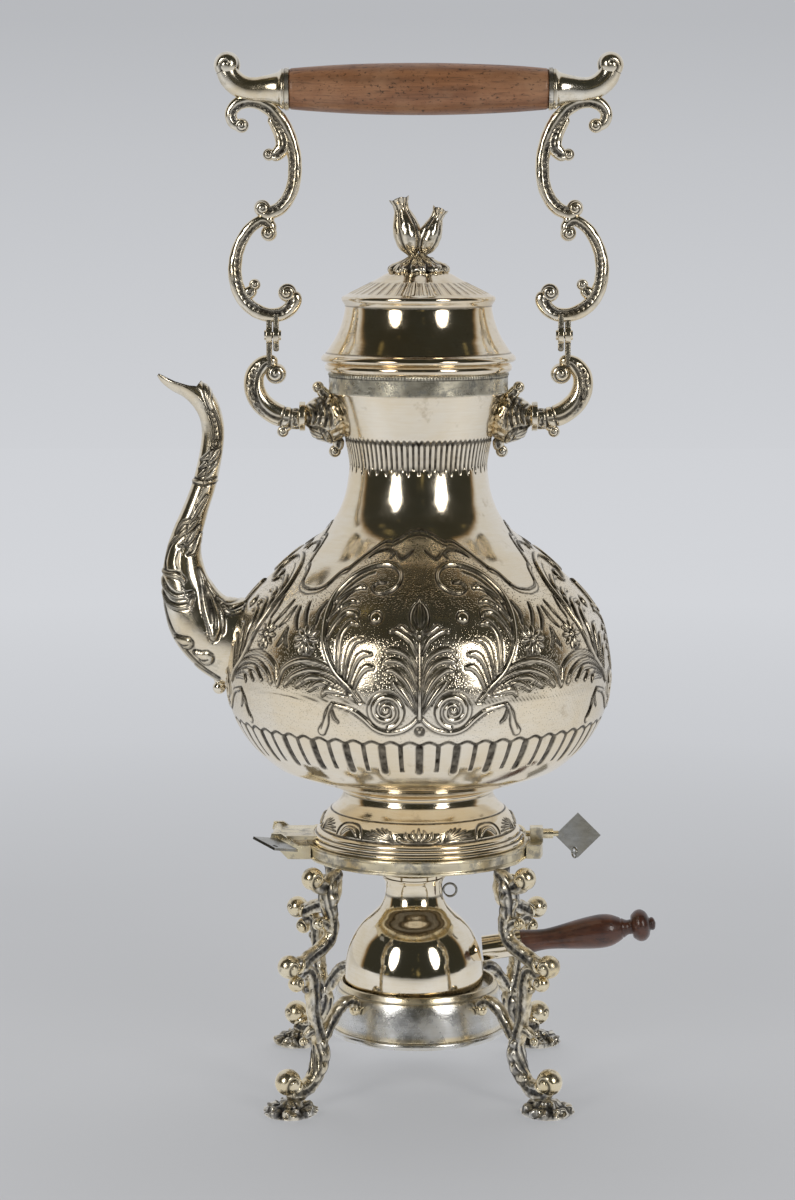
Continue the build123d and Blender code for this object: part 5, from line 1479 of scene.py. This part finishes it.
legSizes = {
    "upper": [(40.8, 87.6, 1.9), (42.6, 86.2, 2.4), (45.6, 84.6, 2.8), (47.3, 80.6, 2.95), (47.1, 75.6, 2.85),
              (45.9, 70.4, 2.75), (45.7, 66.0, 2.7), (47.6, 62.0, 2.75), (51.6, 59.4, 2.8), (57.2, 57.2, 2.8),
              (61.4, 55.4, 3.1), (65.4, 55.2, 3.3)],
    "lower": [(62.8, 50.0, 2.4), (60.4, 52.6, 2.5), (57.4, 52.4, 2.6), (55.7, 48.4, 2.75),
              (55.4, 42.4, 2.7), (54.6, 35.4, 2.6), (53.0, 28.6, 2.75), (51.3, 22.6, 2.95),
              (51.6, 16.6, 2.95), (54.6, 11.6, 3.05), (59.4, 8.2, 3.2), (64.4, 7.6, 3.5),
              (67.4, 9.4, 3.4)],
    "branch": [(52.6, 22.4, 2.1), (49.2, 26.8, 2.35), (45.2, 31.8, 2.4), (41.2, 35.8, 2.4), (37.2, 37.0, 2.3),
               (33.8, 35.6, 2.2), (32.7, 33.0, 1.9)],
    "twigs": [[(46.4, 82.6, 2.2), (49.4, 82.6, 2.7), (52.4, 83.6, 3.2), (54.6, 85.6, 3.1)],
              [(46.4, 65.4, 1.9), (48.6, 68.2, 2.1), (50.8, 69.6, 2.0), (52.4, 69.3, 1.7)],
              [(53.2, 29.4, 2.0), (56.2, 29.4, 1.9), (58.6, 28.2, 1.5), (59.6, 26.8, 1.0)],
              [(47.2, 74.0, 1.6), (49.4, 76.0, 1.6), (50.6, 78.6, 1.2)],
              [(55.8, 46.4, 1.4), (58.2, 45.2, 1.5), (60.0, 46.6, 1.2)]],
    "shields": [[(44.6, 86.6, 1.8), (47.2, 80.2, 3.6), (46.6, 73.4, 3.1), (45.6, 68.0, 2.0)],
                [(53.0, 26.4, 2.2), (51.4, 20.6, 3.5), (53.0, 14.4, 3.4), (57.0, 9.8, 2.4)]],
    # each: where, its radius, the angle its curl starts from and which way it turns
    "balls": [((55.2, 86.6), 4.2, 200, 1), ((52.6, 69.2), 2.2, 180, -1), ((67.2, 55.6), 4.3, 190, 1),
              ((63.6, 48.6), 3.1, 120, -1), ((68.0, 12.3), 4.9, 215, 1), ((33.4, 33.0), 2.3, 60, -1),
              ((60.2, 26.0), 1.6, 150, 1)],
    "collars": [(62.4, 55.3, 3.3, 0.35), (64.7, 9.6, 3.4, 0.9)],
    "angles": {"front_left": 225, "front_right": 315, "rear_left": 135, "rear_right": 45},
    # each limb's key here, its seed, and how deep its groove is
    "limbs": [("upper", 21, 0.24), ("lower", 22, 0.24), ("branch", 23, 0.22)],
    "look": {"wide": 0.30, "dark": 0.95, "rough": 0.075},
    "twigLook": {"wide": 0.3, "deep": 0.2, "dark": 0.85, "rough": 0.07},
}
padSizes = {
    "reach": 67.0, "radius": 9.6, "lobes": 6, "lobeDepth": 1.9,
    # shares of the radius, and heights in mm
    "outline": [(0.93, 0.12), (1.02, 0.9), (1, 1.9), (0.86, 2.9), (0.66, 3.6), (0.48, 4.2), (0.34, 5.3)],
}


def leafyLimb(points, seed):
    # a leaf that lies over the limb: broad, ridged, with notched edges
    def section(phi, along, total):
        c, s = np.cos(phi), np.sin(phi)
        notch = np.abs(np.sin(along * 0.62 + seed * 1.7))
        edge, face = partOf(np.abs(s), 0.45) / 0.55, partOf(np.abs(c) * 2, 0)
        ridge = 0.5 + 0.5 * np.cos(9 * np.arcsin(np.clip(s, -1, 1)) + along * 0.5)
        y = -s * 1.12 * (1 - 0.26 * (1 - notch) * edge)
        dark = 0.9 * (1 - ridge) ** 1.2 * face + 0.7 * (1 - notch) ** 2 * edge
        return c * (1 - 0.20 * ridge * face), y, {"dark": partOf(dark, 0)}

    return sweep(points, 56, section, 0.3)


def makeLegs():
    at = legSizes
    limbs = [castLimb(at[key], seed, deep=deep, **at["look"]) for key, seed, deep in at["limbs"]]
    limbs += [castLimb(points, 30 + i, **at["twigLook"]) for i, points in enumerate(at["twigs"])]
    limbs += [leafyLimb(points, 3 + i) for i, points in enumerate(at["shields"])]
    balls = [curlKnob(*look, 0.97, 1.02, 0.13) for look in at["balls"]]
    for out, up, r, lean in at["collars"]:
        rim = roundRing([(r * 0.5, -0.7), (r, -0.7), (r, 0.7), (r * 0.5, 0.7)], 48, 0.5)
        balls.append(placed(rim, (out, 0, up), (cos(lean - pi / 2), 0, sin(lean - pi / 2)), (0, 1, 0),
                            (cos(lean), 0, sin(lean))))
    for name, angle in at["angles"].items():
        label = "".join(word.capitalize() for word in name.split("_"))
        for piece, shapes, look, node in (("leg", limbs, "stand", ["leg_" + name]),
                                          ("legBalls", balls, "gilded", []),
                                          ("footLeaf", [makePad(angle)], "stand", ["foot_pad_" + name])):
            makePiece(piece + label, [spun(shape, angle) for shape in shapes], silvers[look], "stand",
                      node)


def makePad(seed):
    at = padSizes
    radius, top = at["radius"], at["outline"][-1][1]
    edge = curveThrough([(radius * out, up) for out, up in at["outline"]], 0.18)
    outline = chained([(0.0, 0.0), (radius * 0.86, 0.0)], edge, [(0.0, top + 0.4)])

    def surface(angles, along, outline):
        turn, out = np.radians(angles)[None], partOf(outline[:, :1], 0, radius)
        lobe = np.abs(np.sin(turn * at["lobes"] / 2 + 0.5))
        gap = partOf(1, lobe * 1.7)
        upper = partOf(outline[:, 1:2], 0, 0.8)
        fold = np.cos(turn * at["lobes"] * 3 + out * 5 + 1.5 * np.sin(turn * 2 + seed))
        lift = 0.16 * fold * out + 0.62 * bell(out - 0.80, 0.10) * lobe - 0.5 * bell(out - 0.60, 0.07)
        lift = lift - at["lobeDepth"] * gap ** 1.3 * out ** 1.5
        dark = partOf(1.1 * gap + 0.5 * partOf(-fold, 0) + 0.8 * bell(out - 0.60, 0.06), 0)
        return lift * upper, {"dark": dark * upper * (out > 0.3)}

    shape = lathe(outline, 224, surface)
    verts, wave = shape["verts"], rippled(shape["verts"], 2.7, seed)
    lifted = partOf(verts[:, 2], 0, 1.2)
    verts[:, :2] *= (1 + 0.06 * wave * lifted)[:, None]
    verts[:, 2] += 0.34 * wave * lifted * (verts[:, 2] < top - 0.4)
    verts[:, 2] = np.maximum(verts[:, 2], 0)
    return placed(shape, (at["reach"], 0, 0))


traySizes = {
    "wall": [(33.4, 22.4), (32.9, 25.2), (32.3, 29.4), (31.6, 33.4), (30.9, 36.0), (30.0, 37.9),
             (29.7, 38.7)],
    "lip": [(29.7, 38.7), (29.3, 39.0), (28.9, 38.9), (28.7, 38.5)],
    "inside": [(28.6, 36.0), (28.6, 33.2), (21.0, 33.2), (21.0, 32.0), (30.4, 32.0), (31.4, 27.6),
               (31.9, 22.4)],
    "rim": [(32.3, 20.0), (34.4, 20.0), (34.7, 21.2), (34.3, 22.4), (32.3, 22.4)],
    "line": 36.9, "giltAbove": 35.2, "giltBelow": 24.6,
}


def makeTray():
    at = traySizes
    wall = curveThrough(at["wall"], 0.5)
    outline = chained(wall, curveThrough(at["lip"], 0.15)[1:], at["inside"])

    def surface(angles, along, outline):
        height, outside = outline[:, 1:2], (np.arange(len(outline)) < len(wall))[:, None]
        dents = rippled(pointsAround(outline, angles), 13.0, 31)
        line = bell(height - at["line"], 0.25) * outside
        gilt = partOf(height, at["giltAbove"], 1.2) + partOf(at["giltBelow"], height, 1.2)
        gilt = partOf(gilt * (0.8 + 0.6 * dents), 0)
        return 0.08 * dents * outside - 0.25 * line, {"dark": 0.6 * line, "gilt": gilt}

    makePiece("trayBowl", lathe(outline, 720, surface, closed=True), silvers["tray"], "stand",
              ["tray"])
    makePiece("trayRim", roundRing(at["rim"], 480, 0.6), silvers["tray"], "stand",
              ["tray_rim"])


makeRing()
makeLegs()
makeTray()
dressNodes(silvers["ring"], "hinge_lugs", "bolt_lug", "hinge_pin", "lock_bolt", "hinge_tongue")
dressNodes(silvers["plate"], "hinge_thumb_plate", "bolt_thumb_plate", "chain_ring")
dressNodes(silvers["lid"], "lid_bezel", "finial_screw", "finial_nut")
print("stand made")


# Spirit burner: font, and the handle on its line; socket, eye and wick keep their solids

fontSizes = {
    "aside": -1.5,  # the font stands a little off the kettle's axis
    "outline": [(25.0, 0.0), (25.9, 2.4), (26.35, 5.4), (26.4, 9.0), (25.9, 14.0), (24.6, 19.0),
                (22.3, 24.0), (18.9, 28.4), (15.3, 31.8), (12.6, 34.8), (11.2, 38.0), (10.8, 41.0),
                (11.0, 43.4), (11.9, 45.4), (12.0, 45.8)],
    "floor": [(0.0, 0.0), (24.2, 0.0), (24.8, 0.0)],
    "wall": 0.9, "neck": 39.0,
}


def makeFont():
    at = fontSizes
    floor, outer = ([(r, fontLow + z) for r, z in at[key]] for key in ("floor", "outline"))
    outer = curveThrough(outer, 0.4)
    inside = fontLow + at["wall"]
    inner = [(max(r - at["wall"], 0.5), z) for r, z in outer[::8]][::-1]
    outline = chained(floor, outer, inner[:-1], [(24.0, inside), (0.0, inside)])
    count = len(floor) + len(outer)

    def surface(angles, along, outline):
        outside = (np.arange(len(outline)) < count)[:, None] * (outline[:, :1] > 10)
        dents = rippled(pointsAround(outline, angles), 15.0, 51)
        neck = bell(outline[:, 1:2] - fontLow - at["neck"], 0.5)
        return 0.05 * dents * outside, {"dark": 0.5 * neck * outside}

    shape = placed(lathe(outline, 480, surface), (at["aside"], 0, 0))
    makePiece("burnerFont", shape, silvers["burner"], "burner", ["burner_font"])


handleSizes = {
    "root": (39.4, 52.9), "lean": 8.5,
    # distances along the handle and radii there, each run with its own step
    "runs": [
        ([(0.0, 4.9), (3.0, 4.55), (6.6, 4.1), (9.9, 3.95), (14.4, 4.4), (19.2, 5.15), (25.0, 6.0),
          (30.1, 6.4), (33.4, 6.2), (35.8, 5.5), (38.6, 4.1), (40.5, 3.0), (41.6, 2.75), (42.4, 3.1)], 0.4),
        ([(42.6, 3.9), (43.2, 4.7), (44.6, 5.75), (46.0, 6.1), (47.4, 5.75), (48.6, 4.7), (49.4, 3.2)], 0.3),
        ([(49.8, 2.35), (50.4, 2.5), (51.0, 2.3), (51.5, 1.6), (51.9, 0.0)], 0.25),
    ],
    "grooves": (38.9, 42.3, 49.6),
}


def makeHandle():
    at = handleSizes
    runs = [curveThrough([(r, t) for t, r in run], step) for run, step in at["runs"]]
    outline = chained([(0.0, 0.0)], *runs)
    outline[:, 0] = np.maximum(outline[:, 0], 0)

    def surface(angles, along, outline):
        turn = np.radians(angles)[None]
        worn = rippled(pointsOf(outline[:, 1:2] * 0.15, np.sin(turn) * 4, np.cos(turn) * 4), 5.0, 61)
        grooves = sum(bell(outline[:, 1:2] - t, 0.22) for t in at["grooves"])
        return 0.05 * worn - 0.35 * grooves * (outline[:, :1] > 1.5), {}

    (out, up), a = at["root"], radians(at["lean"])
    shape = placed(lathe(outline, 144, surface), (out, 0, up), (sin(a), 0, -cos(a)), (0, 1, 0),
                   (cos(a), 0, sin(a)))
    makePiece("burnerHandle", shape, woods["handle"], "burner", ["burner_handle"])


makeFont()
makeHandle()
dressNodes(silvers["burner"], "handle_socket", "handle_tang", "wick_holder")
dressNodes(silvers["plate"], "burner_eye")
dressNodes(wickCotton, "wick")
print("burner made")


# Floor, light and camera

stageLooks = {
    "floorSide": 6.0,
    "floorColor": (0.72, 0.73, 0.752),
    "paperTint": (0.980, 1.0, 1.045),
    # how far back on the floor, in metres, and how light the paper looks there
    "paper": [(0.0, 0.530), (0.35, 0.535), (0.75, 0.597), (1.4, 0.665), (3.0, 0.645)],
    "paperStart": 0.15, "paperEnd": 0.75, "paperNear": 0.55,
    # the same as the metal shows it, and how much of it
    "paperInMetal": [(-1.8, 0.30), (-1.0, 0.38), (-0.55, 0.66), (-0.2, 0.84), (0.0, 0.78), (0.5, 0.62),
                     (3.0, 0.645)],
    "inMetal": 0.85,
    # how far up the view looks, and how light the backdrop is there
    "backdrop": [(-0.09, 0.645), (-0.03, 0.597), (0.017, 0.552), (0.06, 0.491), (0.2, 0.46)],
    # the room: dark before the object, a warm edge, pale paper behind
    "room": [(-1.0, (0.030, 0.030, 0.023)), (0.07, (0.036, 0.035, 0.026)), (0.14, (0.22, 0.145, 0.065)),
             (0.19, (0.50, 0.46, 0.40)), (0.27, (0.64, 0.65, 0.67)), (1.0, (0.68, 0.69, 0.72))],
    "roomEdge": 0.05,  # how far the edge of the paper wanders
    "roomGlow": (0.42, 0.34, 0.15), "glowLow": 0.64, "glowHigh": 0.74, "glowScale": 3.6,
}


def rampOf(w, value, stops):  # stops are (value, colour or grey)
    low, high = stops[0][0], stops[-1][0]
    node = w.add("ShaderNodeValToRGB", {"Fac": w.between(value, low, high)})
    ramp = node.color_ramp
    while len(ramp.elements) < len(stops):
        ramp.elements.new(0.5)
    for element, (at, _) in zip(ramp.elements, stops):
        element.position = (at - low) / (high - low)
    for element, (_, shade) in zip(ramp.elements, stops):
        color = shade if isinstance(shade, tuple) else [shade * c for c in stageLooks["paperTint"]]
        element.color = (*color, 1)
    return node.outputs["Color"]


def makeFloor():
    at = stageLooks
    half = at["floorSide"] / 2
    mesh = bpy.data.meshes.new("floor")
    corners = [(-half, -half, 0), (half, -half, 0), (half, half, 0), (-half, half, 0)]
    mesh.from_pydata(corners, [], [(0, 1, 2, 3)])
    floor = bpy.data.objects.new("floor", mesh)
    bpy.context.scene.collection.objects.link(floor)
    w = Surface("floorPaper")
    tone = w.between(w.noise(160.0, 3.0), 0.3, 0.7)
    color = w.mixed(tone, at["floorColor"], tuple(0.96 * c for c in at["floorColor"]))
    w.into(Base_Color=color, Roughness=0.75)
    ray = w.add("ShaderNodeLightPath").outputs
    away = w.add("ShaderNodeVectorMath", {0: w.place}, operation="LENGTH").outputs["Value"]
    back = w.add("ShaderNodeSeparateXYZ", {"Vector": w.place}).outputs["Y"]
    far = w.between(away, at["paperStart"], at["paperEnd"], at["paperNear"], 1.0)
    look = w.shader.outputs["BSDF"]
    for amount, value, key in ((w.times(far, ray["Is Camera Ray"]), away, "paper"),
                               (w.times(ray["Is Glossy Ray"], at["inMetal"]), back, "paperInMetal")):
        paper = w.add("ShaderNodeEmission", {"Color": rampOf(w, value, at[key])}).outputs[0]
        look = w.add("ShaderNodeMixShader", {0: amount, 1: look, 2: paper}).outputs[0]
    w.feed(w.out, look)
    mesh.materials.append(w.material)


def makeWorld():
    at = stageLooks
    world = bpy.data.worlds.new("studio")
    bpy.context.scene.world = world
    world.use_nodes = True
    w = Wiring(world.node_tree)
    way = w.add("ShaderNodeTexCoord").outputs["Generated"]
    parts = w.add("ShaderNodeSeparateXYZ", {"Vector": way}).outputs

    def clouds(scale, detail):
        inputs = {"Vector": way, "Scale": scale, "Detail": detail}
        return w.add("ShaderNodeTexNoise", inputs).outputs["Fac"]

    side = w.sum(parts["Y"], w.between(clouds(2.6, 2.0), 0.0, 1.0, -at["roomEdge"], at["roomEdge"]))
    glow = w.between(clouds(at["glowScale"], 3.0), at["glowLow"], at["glowHigh"])
    glow = w.times(glow, w.between(side, 0.06, -0.04))  # only in the dark half
    color = w.mixed(glow, rampOf(w, side, at["room"]), at["roomGlow"])
    room = w.add("ShaderNodeBackground", {"Color": color}).outputs[0]
    seen = w.add("ShaderNodeBackground", {"Color": rampOf(w, parts["Z"], at["backdrop"])}).outputs[0]
    camera = w.add("ShaderNodeLightPath").outputs["Is Camera Ray"]
    both = w.add("ShaderNodeMixShader", {0: camera, 1: room, 2: seen}).outputs[0]
    w.feed(w.add("ShaderNodeOutputWorld").inputs["Surface"], both)


lampSizes = {
    "leftFront": {"place": (-0.95, -1.25, 0.75), "size": (0.50, 0.90), "power": 7.0},
    "rightFront": {"place": (0.95, -1.25, 0.75), "size": (0.50, 0.90), "power": 7.0},
    "top": {"place": (0.0, 0.9, 1.5), "size": (2.0, 1.4), "power": 7.5},
}


def makeLamps():
    for name, look in lampSizes.items():
        data = bpy.data.lights.new(name, "AREA")
        data.shape = "ELLIPSE"
        data.size, data.size_y = look["size"]
        data.energy = look["power"]
        data.color = (1.0, 0.985, 0.96)
        lamp = bpy.data.objects.new(name, data)
        lamp.location = look["place"]
        lamp.rotation_euler = (Vector((0, 0, 0.18)) - lamp.location).to_track_quat("-Z", "Y").to_euler()
        lamp.visible_glossy = name != "top"  # the top lamp lights the floor only
        bpy.context.scene.collection.objects.link(lamp)


cameraSizes = {"place": (-0.00515, -1.1176, 0.332), "pitch": 82.5, "lens": 89.9}


def makeCamera():
    data = bpy.data.cameras.new("camera")
    data.lens = cameraSizes["lens"]
    data.sensor_width = 36.0
    data.clip_start, data.clip_end = 0.05, 20.0
    camera = bpy.data.objects.new("camera", data)
    camera.location = cameraSizes["place"]
    camera.rotation_euler = (radians(cameraSizes["pitch"]), 0, 0)
    bpy.context.scene.collection.objects.link(camera)
    bpy.context.scene.camera = camera


makeFloor()
makeWorld()
makeLamps()
makeCamera()
bpy.context.scene.view_settings.view_transform = "Standard"
print("floor, light and camera made")
